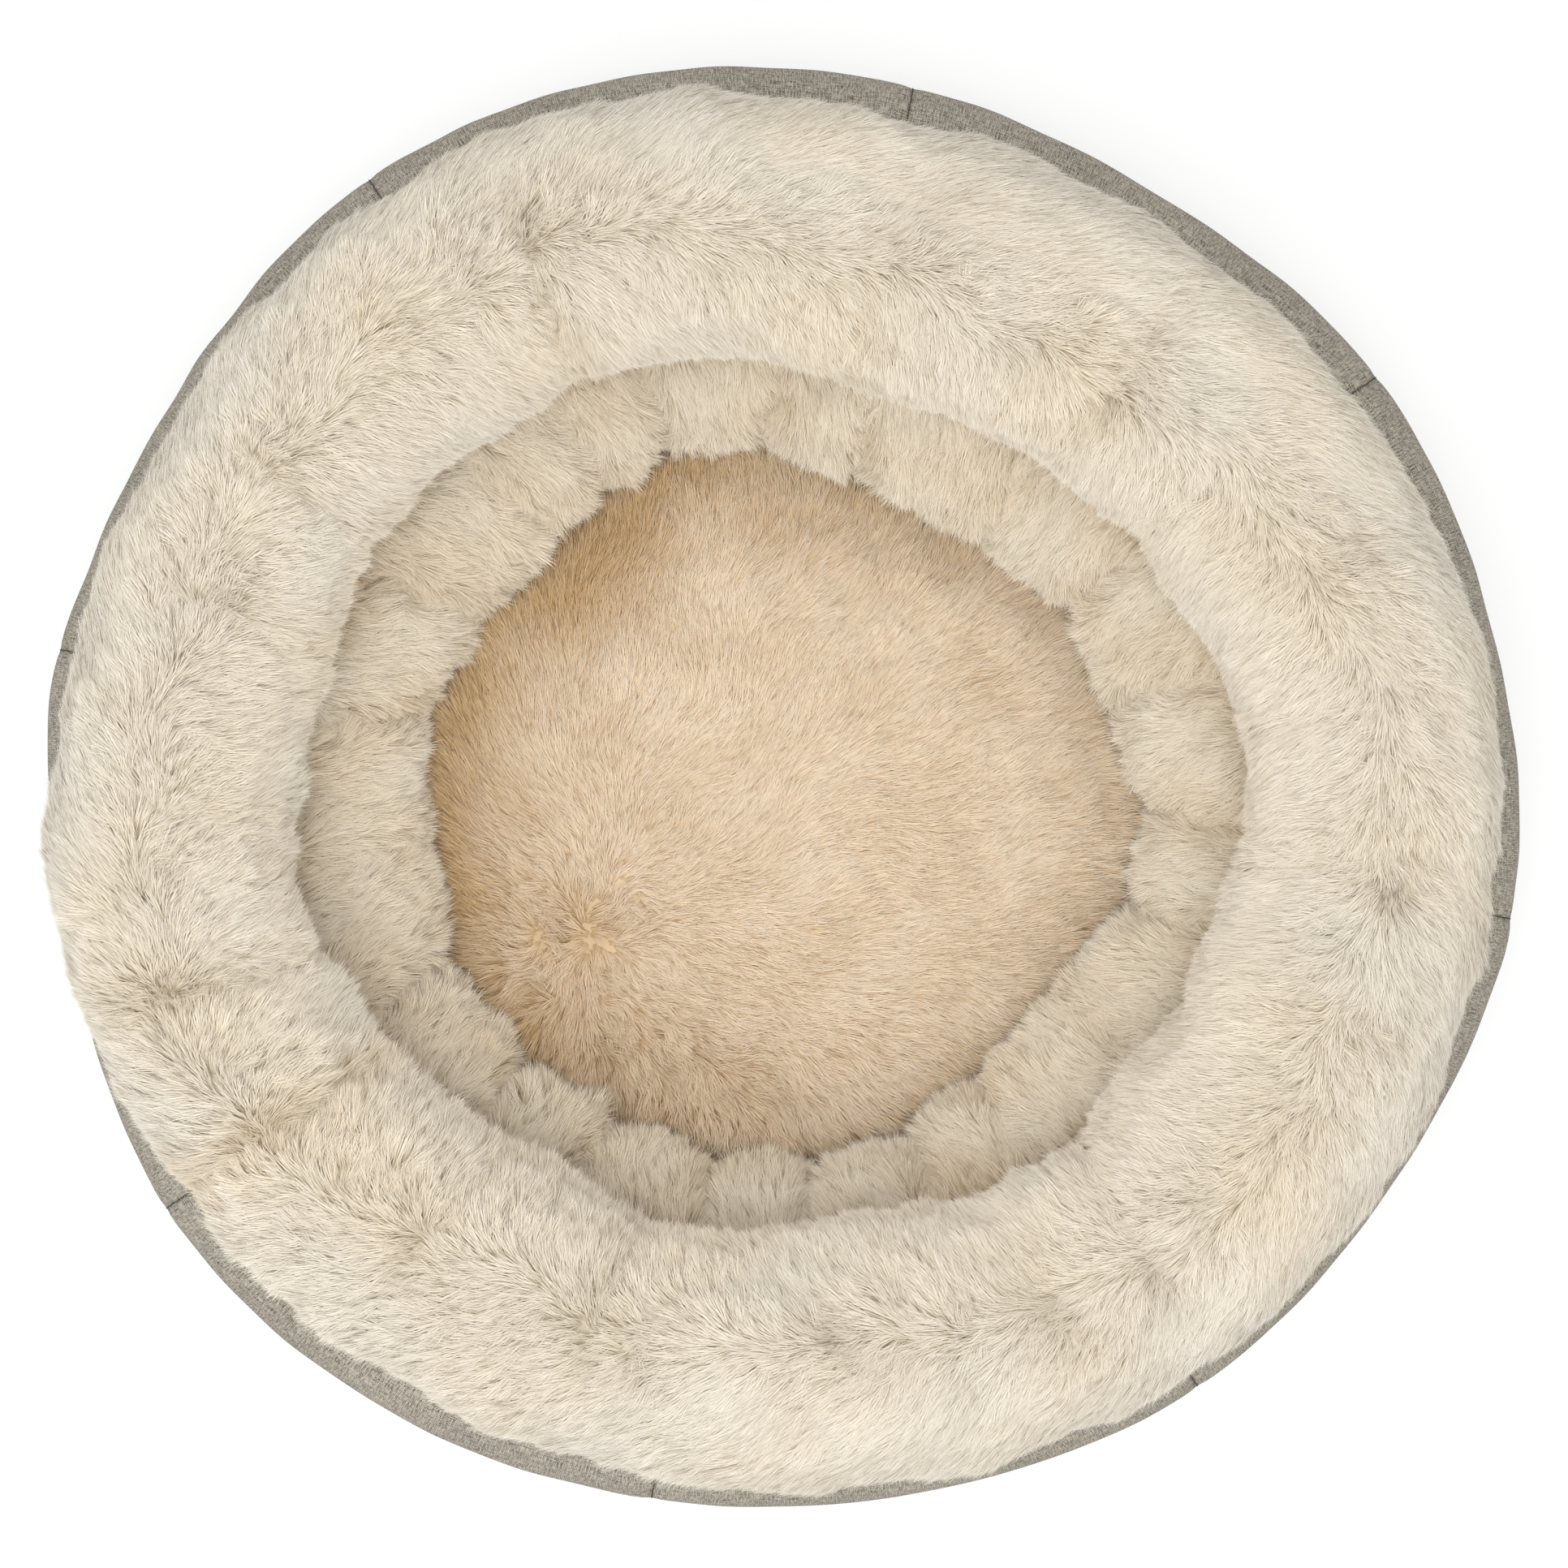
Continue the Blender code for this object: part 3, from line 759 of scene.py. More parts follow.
# How far the strands are shaded as the skin that they grow on is, and how much less the tufts are
SKIN_SHADING = 0.62
TUFT_SHADING = 0.30
# How far the dark roots of brushed pile are hidden
BRUSHED_ROOT = 0.3
# Bands of painted shade along the comb of the pile, standing for strands that cling together and
# lie a little lower than the rest; the strands themselves are not moved, only darkened
STREAK_WIDTH = 3.4 * MM
STREAK_REACH = 3
STREAK_WAVES = 60
STREAK_SEED = 97
STREAK_SHADE_DEPTH = 0.7
# What the skin tells its pile, of which the finished strands keep nothing
PILE_ATTRIBUTES = (
    "comb", "upward", "stand", "size", "grown", "tufted",
    "loose", "brushed", "facing", "zone", "tone", "side",
)


def shade_with_skin(made):
    """Turns the strands' shading normals towards their skin's, so that light runs over the pile."""
    own = np.zeros(len(made.data.vertices) * 3, np.float32)
    skin = np.zeros_like(own)
    made.data.vertex_normals.foreach_get("vector", own)
    made.data.attributes["facing"].data.foreach_get("vector", skin)
    share = (SKIN_SHADING - TUFT_SHADING * values_of(made, "tufted"))[:, None]
    raised = values_of(made, "upward")[:, None] * np.array((0.0, 0.0, 1.0))
    skin = unit(skin.reshape(-1, 3) + raised)
    made.data.normals_split_custom_set_from_vertices(
        unit(own.reshape(-1, 3) * (1 - share) + skin * share)
    )


def painted_streak_shade(made):
    """How much painted shade each strand takes, from 0 to 1, in bands that run along the comb of
    the pile.
    """
    points = np.zeros(len(made.data.vertices) * 3, np.float32)
    comb = np.zeros_like(points)
    made.data.vertices.foreach_get("co", points)
    made.data.attributes["comb"].data.foreach_get("vector", comb)
    tips = points.reshape(-1, 3)[STRAND_POINTS - 1 :: STRAND_POINTS]
    ways = unit(comb.reshape(-1, 3)[STRAND_POINTS - 1 :: STRAND_POINTS])
    total = np.zeros(len(tips))
    for step in range(-STREAK_REACH, STREAK_REACH + 1):
        spots = tips + ways * step * STREAK_WIDTH
        total += ripple(spots, STREAK_WIDTH, STREAK_SEED, STREAK_WAVES)
    low = np.clip(-total / total.std() / 2, 0, 1)
    return np.repeat(low, STRAND_POINTS)


def grow(name, skin, locks, least_gap, seed, material, slot, body):
    """Pile on a skin. Its map holds each strand's shade and the place along the strand."""
    values = {"Locks": locks, "Least gap": least_gap, "Seed": seed}
    made = made_by(PILE_TREE, name, skin, material, values)
    shade = values_of(made, "zone") + SHADE_SPREAD * (values_of(made, "tone") - 0.5)
    shade = np.clip(shade, STRAND_SHARE, 1 - STRAND_SHARE)
    lifted = BRUSHED_ROOT * values_of(made, "brushed")
    along = lifted + (1 - lifted) * values_of(made, "along")
    # Painted shade: strands in the darker bands take colours nearer their roots
    along = along * (1 - STREAK_SHADE_DEPTH * painted_streak_shade(made))
    shade_with_skin(made)
    set_map(made, BAKE_MAP, shade + STRAND_SHARE * values_of(made, "side"), along)
    for attribute in PILE_ATTRIBUTES:
        if attribute in made.data.attributes:
            made.data.attributes.remove(made.data.attributes[attribute])
    made.data.attributes["along"].data.foreach_set("value", along.astype(np.float32))
    set_values(made, "shade", shade)
    return dress(made, material, slot, body)


# Pile: locks of strands, a few millimetres across at the root
LONG_LOCKS = lock_set(
    "long_lock",
    dict(length=19 * MM, spread=2.4 * MM, width=0.85 * MM, lean=1.30, meet=0.1, stray=0.1),
    dict(length=19 * MM, spread=2.0 * MM, width=0.8 * MM, lean=1.15, meet=0.7, stray=0.16),
)
SHORT_LOCKS = lock_set(
    "short_lock",
    dict(length=15 * MM, spread=2.2 * MM, width=0.8 * MM, lean=1.28, meet=0.15, stray=0.12),
    dict(length=15 * MM, spread=1.9 * MM, width=0.75 * MM, lean=1.16, meet=0.65, stray=0.18),
)
# The least gap between the locks' roots, and the first seed of each piece's locks
LONG_GAP = 2.0 * MM
SHORT_GAP = 2.15 * MM
RING_SEED = 31
LOWER_SEED = 51
CUSHION_SEED = 71

# Long fibre on a knitted back: matt and nearly white at its tips, greyer where it parts
CREAM_PLUSH = plush_material(
    "cream polyester plush", ("#c0b7a2", "#e9e1d1", "#f5f0e6"), ("#c4b291", "#eadcc5", "#f9f1df")
)
# The same plush where it is gathered, in a copy whose warmer colours are painted light, for the
# light that reaches it through the pile
SHADED_PLUSH = plush_material(
    "gathered cream polyester plush",
    ("#c2b49a", "#f1e6d1", "#fdf5e6"),
    ("#aa906b", "#ebd8ba", "#fbeed9"),
)
# A shorter, denser pile dyed tan; its darker brown-gold colours are painted shade at the cushion's
# rim, most on the left, and also tint one patch
TAN_PLUSH = plush_material(
    "tan polyester plush", ("#c8aa80", "#f0ddc1", "#fff4e3"), ("#96703f", "#cfac7b", "#e9d0aa")
)
GORE_STEPS = 44
RING_STEPS = 66
RING_BACK_STEPS = 10
LOWER_STEPS = 40
LOWER_BACK_STEPS = 8
BACKING_THICKNESS = 3 * MM
RING_TUCK = 10 * DEG
RING_SPAN = (RING_SEAM - RING_TUCK, RING_CREASE + RING_TUCK)
LOWER_SPAN = (80 * DEG, LOWER_FOOT)
# How dark the backing is, as a place along a strand
ROOT_TONE = 0.25
BRUSHED_TONE = 0.5

# The side on which the ring's filling bulges out over the wall
FULL_SIDE = 60 * DEG
FULL_SPREAD = 55 * DEG
FULLNESS = 8 * MM
LEAST_FULLNESS = 2.5 * MM
LEFT_SIDE = 190 * DEG
LEFT_SPREAD = 14 * DEG
LEFT_FULLNESS = 3 * MM
# Where round the ring's section its pile hangs over the well
LIP = 180 * DEG
LIP_SPREAD = 22 * DEG
# The side on which the bed has been lain on, whose pile is ruffled all over
SHAGGY_SIDE = 228 * DEG
SHAGGY_SPREAD = 36 * DEG
# A narrow place in the pile that has taken on a peach tint
PEACH_SIDE = 215 * DEG
PEACH_SPREAD = 3 * DEG
# How far the lower ring's top closes the crease between the two rings
TUCK = 4 * MM
# How far round the section from its parting the upper ring's pile turns over, and is ruffled
PARTING_SPREAD = 14 * DEG
RUFFLED_SPREAD = 26 * DEG
# The depth from which a fold changes the pile fully
FULL_RING_FOLD = 6 * MM
FULL_LOWER_FOLD = 8 * MM
# How strongly the lower ring's pile fans out towards its gathers, and where it ends above the floor
FAN = 0.45
PILE_FOOT = 208 * DEG


def panel_angles(number, steps):
    start = FIRST_SEAM + number * FULL_TURN / PANELS
    return np.linspace(start, start + FULL_TURN / PANELS, steps + 1)


def shaggy_at(angle):
    return bell(apart(angle, SHAGGY_SIDE) / SHAGGY_SPREAD)


def ring_surface(angle, around, below=0.0):
    """The upper ring's backing, with the lumps of its filling and its folds."""
    bare = RING.point(angle, around)
    bulge = LEAST_FULLNESS + (FULLNESS - LEAST_FULLNESS) * bell(
        apart(angle, FULL_SIDE) / FULL_SPREAD
    )
    bulge = bulge + LEFT_FULLNESS * bell(apart(angle, LEFT_SIDE) / LEFT_SPREAD)
    depth = RING_PILE_DEPTH + ring_fold_depth(angle, around) + below
    depth = depth - bulge * smooth(80 * DEG, 30 * DEG, around)
    depth = depth - 2.0 * MM * ripple(bare, 70 * MM, 11) - 0.9 * MM * ripple(bare, 26 * MM, 12)
    return RING.point(angle, around, depth)


def lower_surface(angle, around, below=0.0):
    """The lower ring's backing, drawn in at its gathers."""
    bare = LOWER.point(angle, around)
    depth = LOWER_PILE_DEPTH + lower_fold_depth(angle, around) + below
    depth = depth - TUCK * smooth(112 * DEG, 92 * DEG, around)
    depth = depth - 1.6 * MM * ripple(bare, 40 * MM, 13) - 0.7 * MM * ripple(bare, 18 * MM, 14)
    return LOWER.point(angle, around, depth)


def gore(name, surface, number, span, steps, back_steps):
    """A closed gore of backing. Returns it with the parameters of its points."""
    outside = np.linspace(*span, steps)
    inside = np.linspace(*span[::-1], back_steps)
    arounds = np.concatenate((outside, inside))
    angle, around = np.meshgrid(panel_angles(number, GORE_STEPS), arounds, indexing="ij")
    front = np.zeros_like(around, bool)
    front[:, :steps] = True
    grid = surface(angle, around, np.where(front, 0, BACKING_THICKNESS))
    return closed_skin(numbered(name)[number], grid), angle, around, front


def comb_skin(made, comb, grown, zone, tufted, brushed, bare_caps=(0, 1), **others):
    """Sets what the pile needs to know at each point of its skin. Nothing grows on bare caps.

    The pile lies along comb, and grown is how densely it is planted. A higher zone is warmer in
    colour, tufted is the share of locks that cling to a tip, and brushed is how far the dark
    roots are hidden. Among the others, stand is how far the pile rises, size how long its locks
    are, loose how much they are tossed about, and upward how far their shading turns skywards.
    """
    planted = np.ones(len(made.data.polygons), bool)
    planted[list(bare_caps)] = False
    faces = made.data.attributes.new("planted", "BOOLEAN", "FACE")
    faces.data.foreach_set("value", planted)
    zone = np.clip(zone, 0, 1)
    fields = dict(
        others,
        grown=grown.astype(float),
        zone=zone,
        shade=zone,
        tufted=np.clip(tufted, 0, 1),
        brushed=brushed,
        along=ROOT_TONE + (BRUSHED_TONE - ROOT_TONE) * brushed,
    )
    set_values(made, "comb", comb.reshape(-1, 3))
    for name, values in fields.items():
        set_values(made, name, np.broadcast_to(values, grown.shape).ravel())


def finish_gore(made, number, pile, seed, material, slot, node, fill):
    """Dresses a gore's backing in place of its node, and grows its pile."""
    dress(made, material, slot, "bed", numbered(node)[number])
    name = numbered(pile)[number]
    grow(name, made, LONG_LOCKS, LONG_GAP, seed + number, material, slot, "bed")


# In the next functions each field is 0 to 1 over the skin, and says where a fold, a parting or a
# ruffled side is. The share before it is how strongly it acts on the pile. Each ripple has a
# breadth and a seed of its own.


def add_ring_gore(number):
    """One gore of the upper ring, whose pile parts along its crest and turns anticlockwise."""
    made, angle, around, front = gore(
        "ring_backing", ring_surface, number, RING_SPAN, RING_STEPS, RING_BACK_STEPS
    )
    spot = RING.point(angle, around)
    round_bed, over, normal = slopes(ring_surface, angle, around)
    away = around - parting_at(angle) - 0.12 * ripple(spot, 50 * MM, 21)
    inner = smooth(-45 * DEG, 25 * DEG, away)
    below = smooth(15 * DEG, -10 * DEG, around)
    outside = smooth(35 * DEG, -10 * DEG, around)
    hidden = smooth(195 * DEG, 215 * DEG, around)
    lip = bell(apart(around, LIP) / LIP_SPREAD)
    edge = smooth(8 * DEG, -18 * DEG, around) * (1 - 0.6 * shaggy_at(angle))
    shaggy = shaggy_at(angle) * smooth(5 * DEG, 40 * DEG, around)
    ruffled = np.maximum(bell(away / RUFFLED_SPREAD), 0.75 * shaggy)
    ruffled = ruffled * np.clip(0.75 + 0.5 * ripple(spot, 45 * MM, 27), 0, 1)
    folded = np.clip(ring_fold_depth(angle, around) / FULL_RING_FOLD, 0, 1)
    wavy = np.maximum(ruffled, folded)
    brushed = np.maximum(smooth(-18 * DEG, -40 * DEG, away), smooth(25 * DEG, 60 * DEG, away))
    brushed = brushed * (1 - 0.7 * folded) * (1 - 0.8 * shaggy)
    peach = bell(apart(angle, PEACH_SIDE) / PEACH_SPREAD)

    clockwise = 1.9 - 1.45 * inner - 1.2 * below
    side = np.tanh(away / PARTING_SPREAD)
    comb = over * side[..., None] - round_bed * clockwise[..., None]
    swirl = 0.16 * ripple(spot, 60 * MM, 22) + (0.08 + 0.5 * wavy) * ripple(spot, 16 * MM, 23)
    stand = 0.17 * ruffled + 0.08 * folded - 0.12 * brushed + 0.16 * lip
    size = 1.0 + 0.08 * ripple(spot, 20 * MM, 25) - 0.2 * folded - 0.30 * brushed + 0.35 * edge
    comb_skin(
        made,
        turned(unit(comb), normal, swirl),
        grown=front * (1 - 0.6 * hidden) * (1 - 0.3 * shaggy),
        zone=0.18 + 0.26 * inner + 0.20 * ripple(spot, 90 * MM, 26) + 0.2 * folded + 0.8 * peach,
        tufted=0.05 + 0.85 * wavy + 0.3 * shaggy,
        brushed=brushed,
        stand=stand + 0.05 * (1 - brushed) * ripple(spot, 30 * MM, 24),
        size=size,
        loose=1.0 - 0.65 * brushed + 0.9 * wavy + 0.6 * lip,
        upward=0.75 * smooth(115 * DEG, 180 * DEG, around) + 0.7 * outside,
    )
    finish = (CREAM_PLUSH, "cream_plush")
    finish_gore(made, number, "ring_pile", RING_SEED, *finish, "bolster_plush", fill=0.8)


def add_lower_gore(number):
    """One gore of the lower ring, whose pile hangs down and fans out towards its gathers."""
    made, angle, around, front = gore(
        "lower_backing", lower_surface, number, LOWER_SPAN, LOWER_STEPS, LOWER_BACK_STEPS
    )
    spot = LOWER.point(angle, around)
    round_bed, over, normal = slopes(lower_surface, angle, around)
    folded = np.clip(lower_fold_depth(angle, around) / FULL_LOWER_FOLD, 0, 1)
    shaggy = shaggy_at(angle)
    fringe = smooth(140 * DEG, 165 * DEG, around)
    hidden = smooth(110 * DEG, 95 * DEG, around)
    hidden = np.maximum(hidden, smooth(195 * DEG, 210 * DEG, around))

    step = 0.5 * MM / at_angle(LOWER.well, angle)
    rise = lower_fold_depth(angle + step, around) - lower_fold_depth(angle - step, around)
    comb = over + round_bed * (FAN * rise / MM - 0.25)[..., None]
    swirl = 0.28 * ripple(spot, 36 * MM, 42) + (0.18 + 0.3 * folded) * ripple(spot, 16 * MM, 43)
    size = 0.86 + 0.08 * ripple(spot, 18 * MM, 45) - 0.15 * folded + 0.06 * shaggy
    comb_skin(
        made,
        turned(unit(comb), normal, swirl),
        grown=front * (1 - 0.85 * hidden) * (around < PILE_FOOT) * (1 - 0.4 * shaggy),
        # Painted shade: in the gathers the colour turns towards the warmer, darker-rooted colours
        zone=0.30 + 0.25 * ripple(spot, 60 * MM, 46) + 0.3 * folded,
        tufted=0.35 + 0.3 * ripple(spot, 30 * MM, 47) + 0.5 * folded + 0.5 * shaggy,
        brushed=0.1 - 0.1 * folded,
        stand=0.02 + 0.10 * ripple(spot, 22 * MM, 44) + 0.15 * fringe + 0.04 * shaggy,
        size=size + 0.10 * fringe * ripple(spot, 10 * MM, 48),
        loose=1.0 + folded + 0.6 * fringe + 0.5 * shaggy,
        upward=0.35 + 0.3 * fringe + 0.3 * shaggy,
    )
    finish = (SHADED_PLUSH, "inner_plush")
    finish_gore(made, number, "lower_pile", LOWER_SEED, *finish, "inner_plush", fill=0.6)


CUSHION_RINGS = 36
CUSHION_SPOKES = 192
MIDDLE_SHARE = 0.02
# Where the cushion's pile turns round a middle, where one patch of it is browner, and the side on
# which its rim takes the most painted shade
WHORL = np.array((-0.105, -0.085))
WHORL_SPREAD = 0.06
GOLDEN_PATCH = np.array((-0.09, 0.12))
GOLDEN_SPREAD = 0.04
RIM_SHADE_SIDE = 160 * DEG
# Where its edge is ruffled, next to the side of the ring that is
MARGIN_SIDE = 248 * DEG
MARGIN_SPREAD = 38 * DEG


def rough_margin(angle, out):
    """The cushion's edge where its pile stands in clumps, next to the ruffled side."""
    return smooth(0.55, 0.80, out) * bell(apart(angle, MARGIN_SIDE) / MARGIN_SPREAD)


def dome_shares(last, rings):
    """Shares of the cushion's radius that lie closer together towards its edge."""
    return np.sin(np.linspace(MIDDLE_SHARE, last, rings) * math.pi / 2)


def cushion_surface(angle, out, below=0.0):
    """The backing of the cushion's top, with lumps, and clumps at its rough margin."""
    bare = CUSHION.top(angle, out)
    depth = CUSHION_PILE_DEPTH + below - 1.2 * MM * ripple(bare, 60 * MM, 61)
    clumps = (1 - out**12) * rough_margin(angle, out)
    depth = depth - 1.8 * MM * clumps * ripple(bare, 26 * MM, 70)
    return CUSHION.top(angle, out, depth - 0.7 * MM * ripple(bare, 24 * MM, 62))


def add_cushion():
    """The cushion's top, whose pile lies outwards from a whorl and stands up at its rim."""
    shares = dome_shares(1, CUSHION_RINGS)
    shares = np.concatenate((shares, shares[::-1]))
    out, angle = np.meshgrid(shares, round_turn(CUSHION_SPOKES), indexing="ij")
    front = np.zeros(out.shape, bool)
    front[:CUSHION_RINGS] = True
    spot = cushion_surface(angle, out, np.where(front, 0, BACKING_THICKNESS))
    made = closed_skin("cushion_backing", spot)
    plan = spot[..., :2] - WHORL
    margin = rough_margin(angle, out)
    whorl = bell(np.linalg.norm(plan, axis=-1) / WHORL_SPREAD)
    rough = np.maximum(whorl, margin)
    rim = smooth(0.88, 0.97, out)
    clumped = 0.15 * margin * (1 - rim)
    patch = bell(np.linalg.norm(spot[..., :2] - GOLDEN_PATCH, axis=-1) / GOLDEN_SPREAD)
    rim_shade = smooth(0.5, 1.0, out) * (0.5 + 0.5 * np.cos(angle - RIM_SHADE_SIDE)) ** 1.5
    outer = smooth(0.85, 1.0, out)

    tossed = np.stack((ripple(spot, 25 * MM, 68), ripple(spot, 25 * MM, 69)), -1)
    comb = unit(plan) + (0.8 * np.maximum(whorl, 0.6 * margin))[..., None] * tossed
    comb = np.concatenate((unit(comb), np.zeros(out.shape + (1,))), -1)
    normal = np.zeros_like(comb)
    normal[..., 2] = 1
    swirl = 0.25 * ripple(spot, 90 * MM, 63) + 0.18 * ripple(spot, 30 * MM, 64)
    stand = 0.18 * rough + 0.05 * ripple(spot, 24 * MM, 65)
    # Painted shade: darker, browner colours towards the rim and most on the left, where the lower
    # ring overhangs
    zone = 0.10 + 0.35 * outer + 0.8 * rim_shade + 0.3 * patch + 0.10 * ripple(spot, 50 * MM, 67)
    comb_skin(
        made,
        turned(comb, normal, swirl),
        grown=front * (1 - 0.3 * rough),
        zone=zone,
        tufted=0.15 + 0.6 * rough + 0.3 * outer,
        brushed=0.35 - 0.2 * rough + 0.4 * rim,
        stand=stand - 0.05 + 0.42 * rim + clumped,
        size=0.92 + 0.08 * ripple(spot, 22 * MM, 66) + 0.35 * rim + clumped,
        loose=0.8 + rough,
        upward=0.6 * rim,
        bare_caps=(1,),
    )
    finish = (TAN_PLUSH, "tan_plush", "cushion")
    dress(made, *finish, "cushion_plush")
    grow("cushion_pile", made, SHORT_LOCKS, SHORT_GAP, CUSHION_SEED, *finish)


WEAVE_MAP = "weave"
# Slubby threads in two greys, spun thick and thin, which reads as linen from a step away. Its
# threads are drawn a fifth coarser than real ones, so that they still show from the camera
LINEN = woven_material(
    "linen-look woven polyester",
    gap=1.0 * MM,
    slub=9 * MM,
    dark="#5e564a",
    pale="#cec5b4",
    roughness=0.92,
    relief=0.35 * MM,
    place=WEAVE_MAP,
)
# Smooth even threads, which make a flat beige with a faint check
LINING = woven_material(
    "plain woven polyester lining", 0.6 * MM, 30 * MM, "#9c8565", "#c9b694", 0.85, 0.15 * MM
)
# Thick dark threads under a rubbery coat, which look charcoal and a little grained
BASE_CLOTH = woven_material(
    "coated Oxford cloth", 0.7 * MM, 40 * MM, "#33302c", "#5a554e", 0.8, 0.2 * MM
)
# A tight weave that looks smooth until it is seen close to
ZIP_TAPE = woven_material(
    "woven polyester zip tape", 0.5 * MM, 25 * MM, "#ab987a", "#cfc0a4", 0.8, 0.12 * MM
)
# Loose crimped fibre, dull and white, with soft hollows between its tufts
FILLING = grained_material(
    "loose white polyester fibre", "#dcdbd6", "#f4f3ef", 3 * MM, 1.2 * MM, 0.9
)
# Open cells under a millimetre across, which make a cut face look sandy
FOAM = grained_material("polyurethane foam", "#c9c2a8", "#e6dfc6", 0.9 * MM, 0.3 * MM, 0.9)
# Moulded soft vinyl, nearly black, with a low dull shine
GRIP = grained_material("soft PVC grip dots", "#0f0e0e", "#1c1b1a", 0.8 * MM, 0.03 * MM, 0.55)
# Twisted fibre, dark and matt, sunk in the wall's seams
THREAD = grained_material("spun polyester thread", "#2e2921", "#4c4538", 0.6 * MM, 0.1 * MM, 0.8)
# Drawn smooth, so that each turn of the coil carries a soft highlight
NYLON = grained_material("nylon coil", "#b7a584", "#d6c7a8", 1.5 * MM, 0.02 * MM, 0.4)
# A cast skin dulled by plating, rubbed brighter in patches
ZIP_METAL = grained_material(
    "nickel-plated zinc casting", "#b4b2ac", "#d3d1cc", 1.2 * MM, 0.02 * MM, 0.34, metallic=1.0
)

WALL_STEPS = 60
WALL_RISES = 26
WALL_BACK_RISES = 6
WALL_SKIN = 1.4 * MM
WALL_INSET = 1 * MM
SEAM_GROOVE = 0.8 * MM
SEAM_GROOVE_WIDTH = 4 * MM
SEAM_STITCH_PROUD = 0.2 * MM
HEM_STITCH_HEIGHT = 7 * MM
HEM_STITCH_PROUD = 0.15 * MM
# Where the filling presses the wall out, on the bed's left
WALL_BULGE = 174 * DEG
WALL_BULGE_SPREAD = 9 * DEG
WALL_BULGE_DEPTH = 6 * MM
# The cloth simulation that swells the wall: its steps, how far it may move and its cloth, which is
# stiff and light and weighs nothing, so that only the filling's pressure shapes it
SWELL_STEPS = 20
MOST_SWELL = 1.6 * MM
SWELL_SETTINGS = {
    "quality": 5,
    "mass": 0.3,
    "tension_stiffness": 15,
    "compression_stiffness": 15,
    "shear_stiffness": 5,
    "bending_stiffness": 0.5,
    "use_pressure": True,
    "uniform_pressure_force": 2,
    "vertex_group_mass": "sewn",
}


def outward(points):
    """Level unit vectors away from the bed's axis."""
    return unit(points * (1, 1, 0))


def grooved_wall():
    """The wall's cloth before its filling swells it: drawn in along its seams and at both hems."""
    angles = FIRST_SEAM + np.arange(PANELS * WALL_STEPS) * FULL_TURN / (PANELS * WALL_STEPS)
    angle, rise = np.meshgrid(angles, np.linspace(0, 1, WALL_RISES), indexing="ij")
    bare = WALL.point(angle, rise)
    column = np.arange(len(angles)) % WALL_STEPS
    off_seam = np.minimum(column, WALL_STEPS - column)[:, None]
    away = off_seam * FULL_TURN / len(angles) * np.hypot(bare[..., 0], bare[..., 1])
    depth = SEAM_GROOVE * bell(away / SEAM_GROOVE_WIDTH) + WALL_INSET
    depth = depth - 0.4 * MM * ripple(bare, 45 * MM, 81)
    bulge = bell(apart(angle, WALL_BULGE) / WALL_BULGE_SPREAD)
    depth = depth - WALL_BULGE_DEPTH * bulge * np.sin(math.pi * rise) ** 2
    return WALL.point(angle, rise, depth), off_seam == 0


def swollen_wall():
    """The wall's cloth after a cloth simulation, in which its filling presses it outwards."""
    start, seam = grooved_wall()
    columns, rises = start.shape[:2]
    faces = []
    for i in range(columns):
        near, far = i * rises, (i + 1) % columns * rises
        faces += [(near + j, far + j, far + j + 1, near + j + 1) for j in range(rises - 1)]
    cloth = mesh_object("wall_cloth", start, faces)
    held = np.broadcast_to(seam, start.shape[:2]).copy()
    held[:, (0, -1)] = True
    sewn = cloth.vertex_groups.new(name="sewn")
    sewn.add(np.flatnonzero(held.ravel()).tolist(), 1.0, "REPLACE")
    settings = cloth.modifiers.new("swell", "CLOTH").settings
    for name, value in SWELL_SETTINGS.items():
        setattr(settings, name, value)
    settings.effector_weights.gravity = 0
    scene = bpy.context.scene
    for step in range(1, SWELL_STEPS + 1):
        scene.frame_set(step)
    settled = cloth.evaluated_get(bpy.context.evaluated_depsgraph_get()).data
    points = np.zeros(columns * rises * 3, np.float32)
    settled.vertices.foreach_get("co", points)
    scene.frame_set(1)
    discard(cloth)
    moved = points.reshape(start.shape) - start
    far = np.linalg.norm(moved, axis=-1, keepdims=True)
    return start + moved * np.minimum(1, MOST_SWELL / np.maximum(far, 1e-9))


def add_wall():
    """The wall's eight panels with their flat sizes, and the stitches of their seams and hem."""
    cloth = swollen_wall()
    away = outward(cloth)
    back_step = WALL_RISES // WALL_BACK_RISES
    whole = np.concatenate((cloth, (cloth - WALL_SKIN * away)[:, ::-back_step]), 1)
    steps = np.linalg.norm(np.diff(cloth, axis=1), axis=-1).mean(0)
    climb = np.concatenate(((0.0,), np.cumsum(steps)))
    tall = climb[-1]
    up = np.concatenate((climb, climb[::-back_step]))
    girth = np.hypot(cloth[..., 0], cloth[..., 1]).mean() * FULL_TURN / (PANELS * WALL_STEPS)
    along, up = np.meshgrid(np.arange(WALL_STEPS + 1) * girth, up, indexing="ij")
    for number, name in enumerate(numbered("wall_panel")):
        columns = (np.arange(WALL_STEPS + 1) + number * WALL_STEPS) % len(whole)
        made = closed_skin(name, whole[columns])
        set_map(made, WEAVE_MAP, along.ravel(), up.ravel())
        dress(made, LINEN, "linen_wall", "bed", numbered("side_panel")[number])
        seam = cloth[columns[0], 1:] + away[columns[0], 1:] * SEAM_STITCH_PROUD
        add_stitches(numbered("seam_stitches")[number], seam)
    row = int(HEM_STITCH_HEIGHT / tall * (WALL_RISES - 1))
    hem = cloth[:, row] + away[:, row] * HEM_STITCH_PROUD
    add_stitches("hem_stitches", np.concatenate((hem, hem[:1])))


